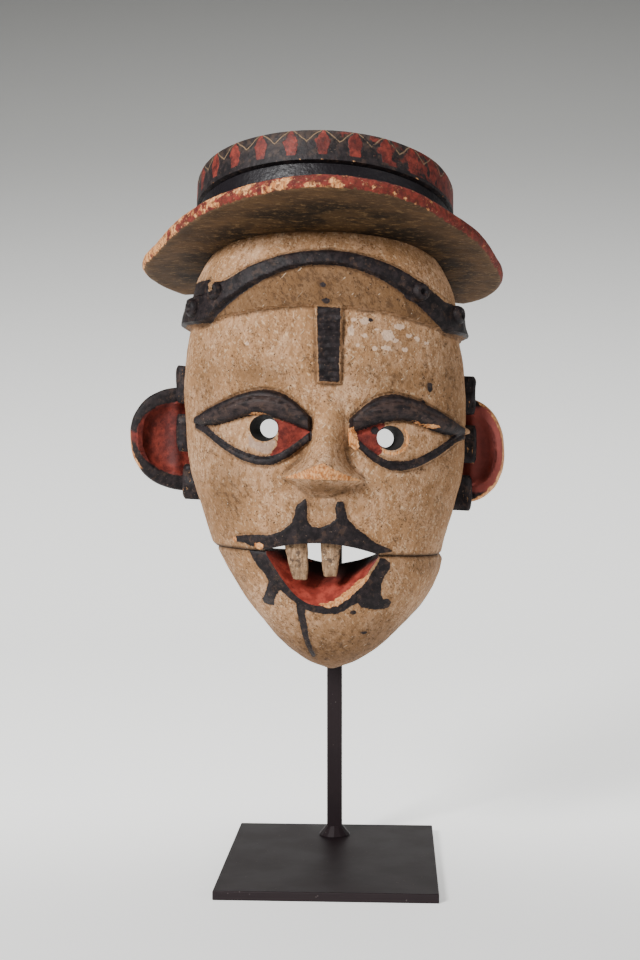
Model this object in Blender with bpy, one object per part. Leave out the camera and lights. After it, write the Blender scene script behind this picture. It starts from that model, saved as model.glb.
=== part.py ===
"""Articulated jaw mask: a hollow carved face with a brimmed hat, its hinged jaw, and its steel stand.

The free carving is laid out in steps of the mask's height, seen from the front: x across from the
nose line, y to the back, z up from the floor. Walls, holes, fits and the stand are in metres.
"""

import math

import bmesh
import bpy
import numpy as np
from mathutils import Matrix

for old in list(bpy.data.objects):
    bpy.data.objects.remove(old, do_unlink=True)

# The stand
PLATE_WIDTH = 0.107
PLATE_DEPTH = 0.130
PLATE_THICKNESS = 0.0045
PLATE_EDGE = 0.0005
ROD_SIDE = 0.008
ROD_EDGE = 0.0006
POST_SHARE = 0.8
WELD_RADIUS = 0.0085
WELD_TOP_RADIUS = 0.0044
WELD_HEIGHT = 0.005
ROD_STANDOFF = 0.0115
ARM_REACH = 0.046
ARM_DROP = 0.034
PAD_WIDTH = 0.030
PAD_DEPTH = 0.022
PAD_THICKNESS = 0.003

# Clearance between pieces that touch
GAP = 0.0003

# The mask as a whole: its height, the chin's height over the plate, and its walls
MASK_HEIGHT = 0.2584
CHIN_OVER_PLATE = 0.0985
WALL = 0.0105
CAVITY_ROOF = 0.017
ROOF_ROUNDING = 6.0
ROOF_HALF_SHARE, ROOF_FRONT_SHARE = 0.8, 0.7
CHIN_THICKNESS = 0.013
JAW_FLOOR_HALF_SHARE, JAW_FLOOR_FRONT_SHARE = 0.7, 0.8
JAW_FLOOR_ROUNDING = 3.0

# The moving jaw
TIE_RING_RADIUS = 0.006
TIE_CORD_RADIUS = 0.0011
TIE_CHANNEL_CLEARANCE = 0.0004

# Eye holes and peg teeth
EYE_HOLE_RADIUS = 0.00625
EYE_HOLE_TURN = math.radians(22)
DRILL_LENGTH = 0.060
TOOTH_ROOT = 0.005
TOOTH_CLEARANCE = 0.0003

# The drawing: where its main lines are
CHIN = 103.0
SPLIT = 163.0
SIDE_Y = -5.0
BACK_RIM = 27.0
JAW_RIM_AT_CHIN = 5.0
ROUNDNESS = 2.3
FACE_SLANT = 0.040
HAT_SLANT = 0.025
CHIN_HEIGHT = PLATE_THICKNESS + CHIN_OVER_PLATE

# How finely the carving is faceted, and how far the head runs on past the block's back before it's cut
FACE_COLUMNS, FACE_ROWS = 141, 121
JAW_COLUMNS, JAW_ROWS = 35, 14
HOLLOW_COLUMNS, JAW_HOLLOW_ROWS = 23, 9
PLAN_SAMPLES = 241
MOUTH_COLUMNS = 15
SIDE_COLUMN_SHARE, SIDE_STARTS = 0.55, 8
RELIEF_EDGE = 1.3
KEPT_SHARE = 0.12
TRIMMED = 5.0
CUT_PAST = 20.0

# Middle line, half-width and front line of the face and jaw, bottom to top
MIDDLE = ((103, 0.3), (150, 0.3), (163, -1.6), (190, -2.2), (240, -3.0), (268, -3.3), (330, -2.7))
JAW_HALF_WIDTH = ((103, 3), (106.2, 11.3), (110.7, 18.7), (117.8, 27.3), (125.4, 34.4), (134.6, 42.3),
                  (144, 48.5), (153, 53), (163, 56.8))
FACE_HALF_WIDTH = ((163, 57.5), (178, 62), (188, 65), (198, 68), (220, 70.8), (238, 71.3), (268, 68.6),
                   (284, 64.8), (293, 62.8), (303, 58.5), (313, 52.5), (330, 45))
JAW_FRONT = ((103, -14), (106, -23), (110, -31), (120, -41), (130, -46.5), (140, -49.5), (150, -50.5),
             (163, -50.5))
FACE_FRONT = ((163, -50.5), (172, -52), (185, -53.5), (200, -54), (220, -54), (240, -55), (260, -56),
              (281, -56), (293, -55.5), (303, -54), (313, -49), (330, -40))

# The cap above the forehead, the headband on it and its knobs
CAP_PROUD = 2.6
CAP_LINE = 281.0
CAP_LINE_FALL = 0.0025
CAP_LINE_REACH = 62.0
BAND_PROUD = 3.0
BAND_TOP, BAND_TOP_FALL, BAND_TOP_AT_SIDES = 307.2, 0.0065, 286.0
BAND_LOW, BAND_LOW_FALL, BAND_LOW_AT_SIDES = 300.7, 0.0088, 272.5
BAND_BACK = 9.0
KNOBS = ((-53.9, 290.0), (43.8, 293.0), (-66.8, 281.6), (60.4, 285.6))
KNOB_RADIUS = 4.2
KNOB_PROUD = 3.0

# The raised bar down the forehead
BAR_X, BAR_TOP, BAR_FOOT = 1.4, 281.0, 244.6
BAR_HALF_TOP, BAR_HALF_FOOT = 6.3, 5.4
BAR_PROUD = 2.6

# Eyes, from the outer corner (0) to the inner corner (1): brow, lid edge and lower lid
EYES = ((-66.9, -5.4), (64.7, 10.8))
EYE_HOLES = ((-30.1, 222.1), (31.2, 219.6))
BROW_LINE = ((0, 226), (0.17, 231.7), (0.35, 236.5), (0.47, 238.8), (0.63, 240.2), (0.79, 237.8),
             (0.93, 232), (1, 228))
LID_LINE = ((0, 223), (0.12, 222.8), (0.28, 224.3), (0.45, 227.6), (0.56, 228.6), (0.66, 227.8),
            (0.8, 225.6), (0.93, 222.8), (1, 221.5))
LOWER_LID = ((0, 223), (0.06, 221.5), (0.18, 216.5), (0.33, 211), (0.46, 207.8), (0.58, 206.5),
             (0.68, 207), (0.8, 210.3), (0.92, 215.5), (1, 219))
BROW_PROUD = 3.8
LID_PROUD = 2.4
LOWER_LID_PROUD = 1.8
LOWER_LID_HALF = 2.2
EYEBALL_PROUD = 2.2

# The nose: ridge height and half-width up its length, its sharp lower edge, where its underside meets the
# face, and the flat break across its tip
NOSE_X, NOSE_EDGE = 0.6, 198.6
NOSE_RIDGE = ((196, 19), (199, 19.5), (203, 18.2), (206.5, 16.5), (212, 12.5), (218, 8.5), (229, 4), (243, 0))
NOSE_HALF = ((189, 18), (197, 19), (200, 19), (206, 14.5), (217, 10.2), (229, 8), (243, 7))
NOSE_FOOT = ((-22, 198.5), (-19.4, 197.4), (-13.3, 194.4), (-7.8, 190.6), (0.6, 190.2), (7.9, 193.2),
             (16.2, 197), (20, 198.6))
NOSE_FULLNESS = 1.7
BREAK_TOP, BREAK_PROUD, BREAK_SLOPE, BREAK_FLOOR = 209.0, 18.25, 0.55, 4.0
NOSE_UNDERSIDE = 0.5

# The moustache: its upper line's height over the split, out from its middle, and its proud surface
LIP_X = -2.4
MOUSTACHE_TOP = ((0, 11), (6, 12), (8.2, 25.8), (11, 24.5), (13, 19), (17, 12.5), (22, 8.5), (28, 6.5),
                 (42, 5.5), (46, 2))
MOUSTACHE_PROUD, MOUSTACHE_REACH = 1.3, 44.0
MOUTH_X, MOUTH_HALF, MOUTH_ARCH = -2.5, 28.5, 5.0

# The jaw's mouth, scooped from a thick lip: depth, middle, half-width and drop at its outer and inner edges,
# and the front of the hollow behind the lip
NOTCH_OUTER = (-50.0, -3.2, 28.5, 26.2)
NOTCH_INNER = (-27.0, 1.5, 23.0, 6.5)
JAW_HOLLOW_FRONT = -22.0
MOUTH_CUT_FROM, MOUTH_CUT_TO, MOUTH_CUT_ABOVE = -80.0, -12.0, 8.0

# The teeth: top middle, tip middle, half-widths, and how far the tip hangs below the lip
TEETH = {"tooth_left": (-15.2, -12.9, 6.1, 3.2, 18.2), "tooth_right": (1.2, 0.7, 5.3, 2.9, 16.1)}
TOOTH_FRONT, TOOTH_BACK, TOOTH_TIP_THICKNESS = -48.6, -42.4, 4.0
TOOTH_TIP_EDGE, TOOTH_TIP_ROUNDED, TOOTH_CORNER = 1.2, 0.9, 0.28

# The hat: brim disc and turned crown
HAT_X, HAT_Y, HAT_Z = -4.0, -10.0, 308.0
BRIM_TILT = math.radians(16.5)
BRIM_REACH = ((-180, 84), (-125, 84), (-111, 91.5), (-96, 94), (-81, 84.5), (-57, 79.5), (-35, 81),
              (-17, 84.5), (5, 89), (26, 88), (52, 82.5), (68, 84), (86, 87.5), (97, 92.5), (112, 90.5),
              (123, 82), (180, 84))
BRIM_THICKNESS, BRIM_EDGE = 5.2, 1.6
CROWN_X = -3.0
CROWN_TILT = math.radians(15)
CROWN_RADIUS, CROWN_GROOVE_RADIUS, RIBBON_RADIUS = 64.4, 62.0, 63.2
CROWN_BASE, RIBBON_TOP, CROWN_GROOVE_TOP, CROWN_LIP = -0.5, 22.4, 24.0, 38.4
CROWN_RISE, CROWN_LIP_BEVEL = 39.6, 1.4
BLOCK_HALF_WIDTH, BLOCK_CORNER, BLOCK_FRONT = 120.0, 8.0, -130.0
CROWN_TOP = HAT_Z + CROWN_LIP * math.cos(CROWN_TILT) + (CROWN_RADIUS - CROWN_LIP_BEVEL) * math.sin(CROWN_TILT)
STEP = MASK_HEIGHT / (CROWN_TOP - CHIN)

# Ears: side, centre, half-width and half-height, and the tabs in front of them
EAR_Z, EAR_HALF_HEIGHT = 216.0, 27.0
EARS = {"left": (-75.0, 30.0), "right": (66.5, 22.2)}
EAR_FRONT, EAR_THICKNESS, EAR_RIM, EAR_SLOPE, EAR_HOLLOW = 3.5, 10.0, 0.74, 0.16, 6.0
EAR_LEAN = math.radians(12)
TABS = ((243.8, 10.0, 6.6), (219.0, 10.0, 7.4), (194.0, 9.4, 8.6))
TAB_FRONT, TAB_DEPTH, TAB_SUNK, TAB_ROUND = -6.0, 12.0, 5.0, 1.6


def along(stations, at):
    """Smooth curve through the stations, read at each value of at."""
    where, value = np.array(stations, float).T
    slope = np.gradient(value, where)
    at = np.clip(at, where[0], where[-1])
    i = np.clip(np.searchsorted(where, at) - 1, 0, len(where) - 2)
    span = where[i + 1] - where[i]
    t = (at - where[i]) / span
    return ((1 + 2 * t) * (1 - t) ** 2 * value[i] + t * (1 - t) ** 2 * span * slope[i]
            + t * t * (3 - 2 * t) * value[i + 1] - t * t * (1 - t) * span * slope[i + 1])


def rise(distance, edge):
    """0 outside a line and 1 inside it, over an edge of the stated width."""
    t = np.clip(distance / edge + 0.5, 0, 1)
    return t * t * (3 - 2 * t)


def place(points):
    """Drawing points to metres, with the carving's slant down to the right."""
    x, y, z = np.moveaxis(np.asarray(points, float), -1, 0)
    slant = np.interp(z, (290, 312), (FACE_SLANT, HAT_SLANT))
    return np.stack([x * STEP, y * STEP, CHIN_HEIGHT + (z - slant * x - CHIN) * STEP], axis=-1)


def eye_relief(x, z, outer, inner, edge):
    """Brow, upper lid, eyeball and lower lid of one eye, between its two corners."""
    s = np.clip((x - outer) / (inner - outer), 0, 1)
    brow, lid, low = along(BROW_LINE, s), along(LID_LINE, s), along(LOWER_LID, s)
    ends = rise(np.minimum(abs(x - outer), abs(inner - x)) * np.sign((x - outer) * (inner - x)), edge)
    share = np.clip((z - lid) / (brow - lid), 0, 1)
    lids = (LID_PROUD + (BROW_PROUD - LID_PROUD) * share) * rise(np.minimum(brow - z, z - lid), edge)
    inside = np.clip((z - low) / np.maximum(lid - low, 1), 0, 1)
    ball = EYEBALL_PROUD * np.sin(math.pi * s) * (4 * inside * (1 - inside)) ** 0.7
    lower = LOWER_LID_PROUD * rise(LOWER_LID_HALF - abs(z - low), edge)
    return ends * np.maximum(np.maximum(lids, lower), ball)


def nose_relief(x, z):
    """The nose: a wedge that widens to its wings, its tip broken off over a sharp lower edge."""
    level = np.maximum(z, NOSE_EDGE)
    across = np.clip(1 - abs(x - NOSE_X) / along(NOSE_HALF, level), 0, 1)
    whole = np.maximum(along(NOSE_RIDGE, level), 0) * (1 - (1 - across) ** NOSE_FULLNESS)
    broken = np.maximum(BREAK_PROUD - BREAK_SLOPE * (BREAK_TOP - level), BREAK_FLOOR)
    proud = np.where(level < BREAK_TOP, np.minimum(whole, broken), whole)
    foot = np.interp(x, *np.array(NOSE_FOOT).T)
    return proud * np.clip((z - foot) / np.maximum(NOSE_EDGE - foot, NOSE_UNDERSIDE), 0, 1)


def moustache_relief(x, z, edge):
    """The moustache, with the bare groove under the nose left between its two horns."""
    out = abs(x - LIP_X)
    top = SPLIT + along(MOUSTACHE_TOP, out)
    return MOUSTACHE_PROUD * rise(top - z, edge) * rise(MOUSTACHE_REACH - out, edge)


def face_relief(x, y, z, edge):
    """How far the carving stands off the plain head at each point."""
    side = np.minimum(abs(x), CAP_LINE_REACH)
    cap = CAP_PROUD * rise(z - CAP_LINE + CAP_LINE_FALL * side ** 2, edge)
    band_top = np.maximum(BAND_TOP - BAND_TOP_FALL * x ** 2, BAND_TOP_AT_SIDES)
    band_low = np.maximum(BAND_LOW - BAND_LOW_FALL * x ** 2, BAND_LOW_AT_SIDES)
    band = BAND_PROUD * rise(np.minimum(band_top - z, z - band_low), edge) * rise(BAND_BACK - y, edge)
    for knob_x, knob_z in KNOBS:
        reach = ((x - knob_x) ** 2 + (z - knob_z) ** 2) / KNOB_RADIUS ** 2
        band = band + KNOB_PROUD * np.exp(-reach) * (y < 0)
    down = np.clip((BAR_TOP - z) / (BAR_TOP - BAR_FOOT), 0, 1)
    bar_half = BAR_HALF_TOP + (BAR_HALF_FOOT - BAR_HALF_TOP) * down
    bar_end = np.minimum(BAR_TOP - z, z - BAR_FOOT)
    bar = BAR_PROUD * rise(np.minimum(bar_half - abs(x - BAR_X), bar_end), edge)
    eyes = sum(eye_relief(x, z, outer, inner, edge) for outer, inner in EYES)
    carved = np.maximum(eyes, nose_relief(x, z))
    return cap + band + bar + carved + moustache_relief(x, z, edge)


def plan_section(middle, half_width, front, back, columns):
    """Points round one level of the head: up one side, across the front and back down the other."""
    turn = np.linspace(-math.pi / 2, math.pi / 2, PLAN_SAMPLES)
    power = 2 / ROUNDNESS
    x = half_width * np.sign(np.sin(turn)) * abs(np.sin(turn)) ** power
    y = SIDE_Y + (front - SIDE_Y) * np.cos(turn).clip(0) ** power
    x = np.concatenate([[-half_width], x, [half_width]])
    y = np.concatenate([[back], y, [back]])
    walked = np.concatenate([[0], np.cumsum(np.hypot(np.diff(x), np.diff(y)))])
    frontal = np.clip(1 - (np.abs(x) / half_width) ** SIDE_STARTS, 0, 1) + SIDE_COLUMN_SHARE
    weight = np.concatenate([[0], np.cumsum(np.diff(walked) * (frontal[1:] + frontal[:-1]))])
    at = np.interp(np.linspace(0, weight[-1], columns), weight, walked)
    return middle + np.interp(at, walked, x), np.interp(at, walked, y)


def head_rings(levels, half_width, front, back, columns, relief_edge=None):
    """One closed ring of points at each level, its back side straight."""
    rings = []
    for z, half, foremost, rearmost in zip(levels, half_width, front, back):
        x, y = plan_section(float(along(MIDDLE, z)), half, foremost, rearmost, columns)
        if relief_edge:
            along_x, along_y = np.gradient(x), np.gradient(y)
            length = np.hypot(along_x, along_y)
            proud = face_relief(x, y, np.full_like(x, z), relief_edge)
            proud[[0, -1]] = proud[[1, -2]]
            x, y = x + proud * along_y / length, y - proud * along_x / length
        rings.append(np.stack([x, y, np.full_like(x, z)], axis=-1))
    return rings


parts = bpy.data.collections.new("articulated_jaw_mask")
cutters = bpy.data.collections.new("cutters")
for group in (parts, cutters):
    bpy.context.scene.collection.children.link(group)


def material(name, color, roughness, metallic=0.0):
    made = bpy.data.materials.new(name)
    made.use_nodes = True
    shader = made.node_tree.nodes["Principled BSDF"]
    shader.inputs["Base Color"].default_value = (*color, 1)
    shader.inputs["Roughness"].default_value = roughness
    shader.inputs["Metallic"].default_value = metallic
    return made


def empty(name, location):
    made = bpy.data.objects.new(name, None)
    made.empty_display_size = 0.01
    made.location = location
    parts.objects.link(made)
    return made


def finish(bm, name, group, parent=None, finish_material=None):
    """Turns a world-space bmesh into an object on its parent's origin."""
    bmesh.ops.recalc_face_normals(bm, faces=bm.faces)
    bmesh.ops.triangulate(bm, faces=bm.faces)
    if parent is not None:
        bmesh.ops.translate(bm, vec=-parent.location, verts=bm.verts)
    mesh = bpy.data.meshes.new(name)
    bm.to_mesh(mesh)
    bm.free()
    mesh.shade_smooth()
    mesh.set_sharp_from_angle(angle=math.radians(40))
    made = bpy.data.objects.new(name, mesh)
    made.parent = parent
    group.objects.link(made)
    if finish_material is not None:
        mesh.materials.append(finish_material)
    if group is cutters:
        made.hide_render = True
        made.display_type = "WIRE"
    return made


def loft(rings):
    """Closed skin over rings of equal count, each given in drawing steps."""
    bm = bmesh.new()
    rows = [[bm.verts.new(point) for point in place(ring)] for ring in rings]
    for low, high in zip(rows, rows[1:]):
        for k in range(len(low)):
            bm.faces.new((low[k - 1], low[k], high[k], high[k - 1]))
    bm.faces.new(rows[0])
    bm.faces.new(rows[-1])
    return bm


def placed(bm):
    """Moves a bmesh that was made in drawing steps to its place in metres."""
    for vert, point in zip(bm.verts, place([tuple(vert.co) for vert in bm.verts])):
        vert.co = point
    return bm


def box_between(low, high, rounding=0.0):
    """A block between two corners, its edges rounded if wanted."""
    bm = bmesh.new()
    size = np.subtract(high, low)
    middle = np.add(high, low) / 2
    bmesh.ops.create_cube(bm, size=1, matrix=Matrix.Translation(middle) @ Matrix.Diagonal((*size, 1)))
    if rounding:
        bmesh.ops.bevel(bm, geom=bm.edges[:], offset=rounding, segments=2, affect="EDGES", profile=0.5)
    return bm


def combine(target, other, operation):
    made = target.modifiers.new(f"{operation.lower()} {other.name}", "BOOLEAN")
    made.operation = operation
    made.solver = "EXACT"
    made.object = other


# The upper face and cap, carved as one head
wood = material("painted_wood", (0.45, 0.36, 0.25), 0.7)
bare_wood = material("weathered_peg_wood", (0.42, 0.32, 0.22), 0.75)
steel = material("blackened_steel", (0.035, 0.028, 0.030), 0.45, 0.4)
cord = material("fibre_cord", (0.30, 0.22, 0.13), 0.9)

split_height = CHIN_HEIGHT + (SPLIT - CHIN) * STEP
mask_origin = empty("mask_origin", (0, 0, split_height))
jaw_hinge = empty("jaw_hinge", (0, BACK_RIM * STEP, split_height - GAP / 2))

levels = np.concatenate([np.linspace(SPLIT, 316, FACE_ROWS), [323, 330]])
head = loft(head_rings(levels, along(FACE_HALF_WIDTH, levels), along(FACE_FRONT, levels),
                       np.full_like(levels, BACK_RIM + TRIMMED), FACE_COLUMNS, relief_edge=RELIEF_EDGE))
mask = finish(head, "mask", parts, mask_origin, wood)
thinned = mask.modifiers.new("fewer facets where the carving is plain", "DECIMATE")
thinned.ratio = KEPT_SHARE

# The hat's brim, a disc tipped up in front, and the crown, turned with a groove above its ribbon
brim = bmesh.new()
widest = max(reach for _, reach in BRIM_REACH)
bmesh.ops.create_cone(brim, cap_ends=True, segments=60, radius1=widest, radius2=widest, depth=BRIM_THICKNESS)
rims = [edge for edge in brim.edges if abs(edge.verts[0].co.z - edge.verts[1].co.z) < 0.01]
bmesh.ops.bevel(brim, geom=rims, offset=BRIM_EDGE, segments=1, affect="EDGES", profile=0.5)
for vert in brim.verts:
    turned = math.degrees(math.atan2(vert.co.x, -vert.co.y))
    vert.co.xy *= float(along(BRIM_REACH, turned)) / widest
hat_place = Matrix.Translation((HAT_X, HAT_Y, HAT_Z))
bmesh.ops.transform(brim, matrix=hat_place @ Matrix.Rotation(-BRIM_TILT, 4, "X"), verts=brim.verts)
brim = finish(placed(brim), "brim_form", cutters)

crown_profile = ((0, CROWN_RISE), (CROWN_RADIUS - 8, CROWN_RISE), (CROWN_RADIUS - CROWN_LIP_BEVEL, CROWN_LIP),
                 (CROWN_RADIUS, CROWN_LIP - 2), (CROWN_RADIUS, CROWN_GROOVE_TOP),
                 (CROWN_GROOVE_RADIUS, CROWN_GROOVE_TOP - 0.8), (RIBBON_RADIUS, RIBBON_TOP),
                 (RIBBON_RADIUS, CROWN_BASE), (0, CROWN_BASE))
crown = bmesh.new()
spine = [crown.verts.new((radius, 0, height)) for radius, height in crown_profile]
outline = [crown.edges.new(pair) for pair in zip(spine, spine[1:])]
bmesh.ops.spin(crown, geom=spine + outline, axis=(0, 0, 1), cent=(0, 0, 0), steps=48,
               angle=2 * math.pi, use_merge=True)
bmesh.ops.remove_doubles(crown, verts=crown.verts, dist=0.01)
crown_place = Matrix.Translation((CROWN_X, HAT_Y, HAT_Z)) @ Matrix.Rotation(-CROWN_TILT, 4, "X")
bmesh.ops.transform(crown, matrix=crown_place, verts=crown.verts)
crown = finish(placed(crown), "crown_form", cutters)

# The block's flat back and rounded back corners bound the hat
block = box_between((HAT_X - BLOCK_HALF_WIDTH, BLOCK_FRONT, SPLIT - CUT_PAST),
                    (HAT_X + BLOCK_HALF_WIDTH, BACK_RIM, CROWN_TOP + CUT_PAST))
back_corners = [edge for edge in block.edges
                if min(vert.co.y for vert in edge.verts) > BACK_RIM - 1
                and abs(edge.verts[0].co.z - edge.verts[1].co.z) > 1]
bmesh.ops.bevel(block, geom=back_corners, offset=BLOCK_CORNER, segments=5, affect="EDGES", profile=0.5)
block = finish(placed(block), "block_bounds", cutters)

combine(mask, brim, "UNION")
combine(mask, crown, "UNION")
combine(mask, block, "INTERSECT")


def ear_form(side, middle, half_width):
    """A thick half-oval scoop, dished in front, whose root is sunk in the side of the head."""
    outward = 1 if middle > 0 else -1
    bm = bmesh.new()
    bmesh.ops.create_cone(bm, cap_ends=True, segments=36, radius1=1, radius2=1, depth=EAR_THICKNESS)
    front = min(bm.faces, key=lambda face: face.calc_center_median().z)
    for inward in (1 - EAR_RIM, EAR_SLOPE):
        bmesh.ops.inset_individual(bm, faces=[front], thickness=inward)
    bmesh.ops.translate(bm, verts=front.verts, vec=(0, 0, EAR_HOLLOW))
    stretch = Matrix.Diagonal((half_width, EAR_HALF_HEIGHT, 1, 1))
    turn = Matrix.Rotation(math.pi / 2, 4, "X")
    lean = Matrix.Rotation(-outward * EAR_LEAN, 4, "Z")
    spot = Matrix.Translation((middle, EAR_FRONT + EAR_THICKNESS / 2, EAR_Z))
    bmesh.ops.transform(bm, matrix=spot @ lean @ turn.inverted() @ stretch, verts=bm.verts)
    return finish(placed(bm), f"ear_{side}_form", cutters)


for side, (middle, half_width) in EARS.items():
    combine(mask, ear_form(side, middle, half_width), "UNION")

for outward in (-1, 1):
    for count, (tab_z, tab_half, tab_proud) in enumerate(TABS, 1):
        surface = float(along(MIDDLE, tab_z) + outward * along(FACE_HALF_WIDTH, tab_z))
        ends = sorted((surface - outward * TAB_SUNK, surface + outward * tab_proud))
        tab = box_between((ends[0], TAB_FRONT, tab_z - tab_half),
                        (ends[1], TAB_FRONT + TAB_DEPTH, tab_z + tab_half), TAB_ROUND)
        side = "left" if outward < 0 else "right"
        combine(mask, finish(placed(tab), f"tab_{side}_{count}_form", cutters), "UNION")

# The hollow behind the face, a wall's thickness inside it and open at the back
wall = WALL / STEP
roof = CROWN_TOP - CROWN_RADIUS * math.sin(CROWN_TILT) - CAVITY_ROOF / STEP
inner_levels = np.concatenate([[SPLIT - 12], np.linspace(SPLIT - 4, roof - 2.6 * ROOF_ROUNDING, 11),
                               [roof - ROOF_ROUNDING, roof]])
inner_half = along(FACE_HALF_WIDTH, inner_levels) - wall
inner_front = along(FACE_FRONT, inner_levels) + wall
inner_half[-1] *= ROOF_HALF_SHARE
inner_front[-1] *= ROOF_FRONT_SHARE
inner_back = np.full_like(inner_levels, BACK_RIM + CUT_PAST)
hollow = loft(head_rings(inner_levels, inner_half, inner_front, inner_back, HOLLOW_COLUMNS))
combine(mask, finish(hollow, "face_hollow", cutters), "DIFFERENCE")

# The eye holes, drilled inwards to the back
for side, outward, (hole_x, hole_z) in zip(("left", "right"), (-1, 1), EYE_HOLES):
    hole = bmesh.new()
    bmesh.ops.create_cone(hole, cap_ends=True, segments=20, radius1=EYE_HOLE_RADIUS / STEP,
                          radius2=EYE_HOLE_RADIUS / STEP, depth=DRILL_LENGTH / STEP)
    drill = Matrix.Rotation(outward * EYE_HOLE_TURN, 4, "Z") @ Matrix.Rotation(math.pi / 2, 4, "X")
    spot = Matrix.Translation((hole_x, float(along(FACE_FRONT, hole_z)), hole_z))
    bmesh.ops.transform(hole, matrix=spot @ drill, verts=hole.verts)
    combine(mask, finish(placed(hole), f"eye_hole_{side}", cutters), "DIFFERENCE")

# The low arch of the upper lip
arch_x = np.linspace(-1, 1, 13)
arch = [(MOUTH_X + MOUTH_HALF * x, 0, SPLIT + MOUTH_ARCH * (1 - x * x)) for x in arch_x]
arch = [(arch[0][0], 0, SPLIT - 6), *arch, (arch[-1][0], 0, SPLIT - 6)]
arch_rings = [[(x, y, z) for x, _, z in arch] for y in (MOUTH_CUT_FROM, 0)]
combine(mask, finish(loft(arch_rings), "mouth_arch", cutters), "DIFFERENCE")


def tooth_rings(top_x, tip_x, top_half, tip_half, hang, grow):
    """A tapered peg with cut corners, from its tip to the end of its root."""
    root = TOOTH_ROOT / STEP
    neck = SPLIT + MOUTH_ARCH
    tip_z = neck - hang
    rings = []
    for z in (tip_z, tip_z + TOOTH_TIP_EDGE, (tip_z + neck) / 2, neck, neck + root):
        share = np.clip((z - tip_z) / (neck - tip_z), 0, 1)
        middle = tip_x + (top_x - tip_x) * share
        half = tip_half + (top_half - tip_half) * share - (TOOTH_TIP_ROUNDED if z == tip_z else 0) + grow
        back = TOOTH_BACK - (1 - share) * (TOOTH_BACK - TOOTH_FRONT - TOOTH_TIP_THICKNESS) + grow
        front = TOOTH_FRONT - grow
        cut = TOOTH_CORNER * (back - front)
        level = z + (grow if z > neck else -grow if z == tip_z else 0)
        rings.append([(middle + dx, y, level) for dx, y in (
            (-half, front + cut), (-half + cut, front), (half - cut, front), (half, front + cut),
            (half, back - cut), (half - cut, back), (-half + cut, back), (-half, back - cut))])
    return rings


for name, shape in TEETH.items():
    finish(loft(tooth_rings(*shape, grow=0.0)), name, parts, mask_origin, bare_wood)
    socket = loft(tooth_rings(*shape, grow=TOOTH_CLEARANCE / STEP))
    combine(mask, finish(socket, f"{name}_socket", cutters), "DIFFERENCE")

# The jaw: the same head carried on below the split, hollow from above and behind
bowl = 1 - np.cos(np.linspace(0, math.pi / 2, JAW_ROWS))
jaw_top = SPLIT - GAP / STEP
jaw_levels = CHIN + (jaw_top - CHIN) * bowl
jaw_rim = np.interp(jaw_levels, (CHIN, SPLIT), (JAW_RIM_AT_CHIN, BACK_RIM))
jaw = finish(loft(head_rings(jaw_levels, along(JAW_HALF_WIDTH, jaw_levels), along(JAW_FRONT, jaw_levels),
                             jaw_rim, JAW_COLUMNS)), "jaw", parts, jaw_hinge, wood)

jaw_floor = CHIN + CHIN_THICKNESS / STEP
jaw_inner = np.linspace(jaw_floor + JAW_FLOOR_ROUNDING, SPLIT + MOUTH_CUT_ABOVE, JAW_HOLLOW_ROWS)
jaw_inner = np.concatenate([[jaw_floor], jaw_inner])
jaw_half = along(JAW_HALF_WIDTH, jaw_inner) - wall
jaw_half[0] *= JAW_FLOOR_HALF_SHARE
jaw_front = np.full_like(jaw_inner, JAW_HOLLOW_FRONT)
jaw_front[0] *= JAW_FLOOR_FRONT_SHARE
jaw_hollow = loft(head_rings(jaw_inner, jaw_half, jaw_front, np.full_like(jaw_inner, BACK_RIM + CUT_PAST),
                             HOLLOW_COLUMNS))
combine(jaw, finish(jaw_hollow, "jaw_hollow", cutters), "DIFFERENCE")


def notch_ring(y, top):
    """The mouth's outline at one depth of the lip, closed above the jaw."""
    share = np.clip((y - NOTCH_OUTER[0]) / (NOTCH_INNER[0] - NOTCH_OUTER[0]), 0, 1)
    middle, half, drop = (outer + (inner - outer) * share
                          for outer, inner in zip(NOTCH_OUTER[1:], NOTCH_INNER[1:]))
    across = np.linspace(-1, 1, MOUTH_COLUMNS)
    curve = [(middle + half * x, y, SPLIT - drop * (1 - x * x)) for x in across]
    return [(curve[0][0], y, top), *curve, (curve[-1][0], y, top)]


notch_depths = (MOUTH_CUT_FROM, NOTCH_OUTER[0], NOTCH_INNER[0], MOUTH_CUT_TO)
notch = loft([notch_ring(y, SPLIT + MOUTH_CUT_ABOVE) for y in notch_depths])
combine(jaw, finish(notch, "jaw_mouth", cutters), "DIFFERENCE")

# The cord rings that tie the jaw's back corners, each centred on the hinge axis
for side, outward in (("left", -1), ("right", 1)):
    tie_x = float(along(MIDDLE, SPLIT)) + outward * (JAW_HALF_WIDTH[-1][1] - wall / 2)
    centre = place((tie_x, BACK_RIM, SPLIT)) - np.array((0, 0, GAP / 2))
    for name, radius, group, parent in (
            (f"jaw_tie_{side}", TIE_CORD_RADIUS, parts, mask_origin),
            (f"tie_channel_{side}", TIE_CORD_RADIUS + TIE_CHANNEL_CLEARANCE, cutters, None)):
        bpy.ops.mesh.primitive_torus_add(major_segments=16, minor_segments=6, major_radius=TIE_RING_RADIUS,
                                         minor_radius=radius, location=(0, 0, 0))
        torus = bpy.context.active_object
        ring = bmesh.new()
        ring.from_mesh(torus.data)
        bpy.data.objects.remove(torus, do_unlink=True)
        upright = Matrix.Rotation(math.pi / 2 + math.atan(FACE_SLANT), 4, "Y")
        bmesh.ops.transform(ring, matrix=Matrix.Translation(centre) @ upright, verts=ring.verts)
        made = finish(ring, name, group, parent, cord)
        if group is cutters:
            combine(mask, made, "DIFFERENCE")
            combine(jaw, made, "DIFFERENCE")

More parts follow.
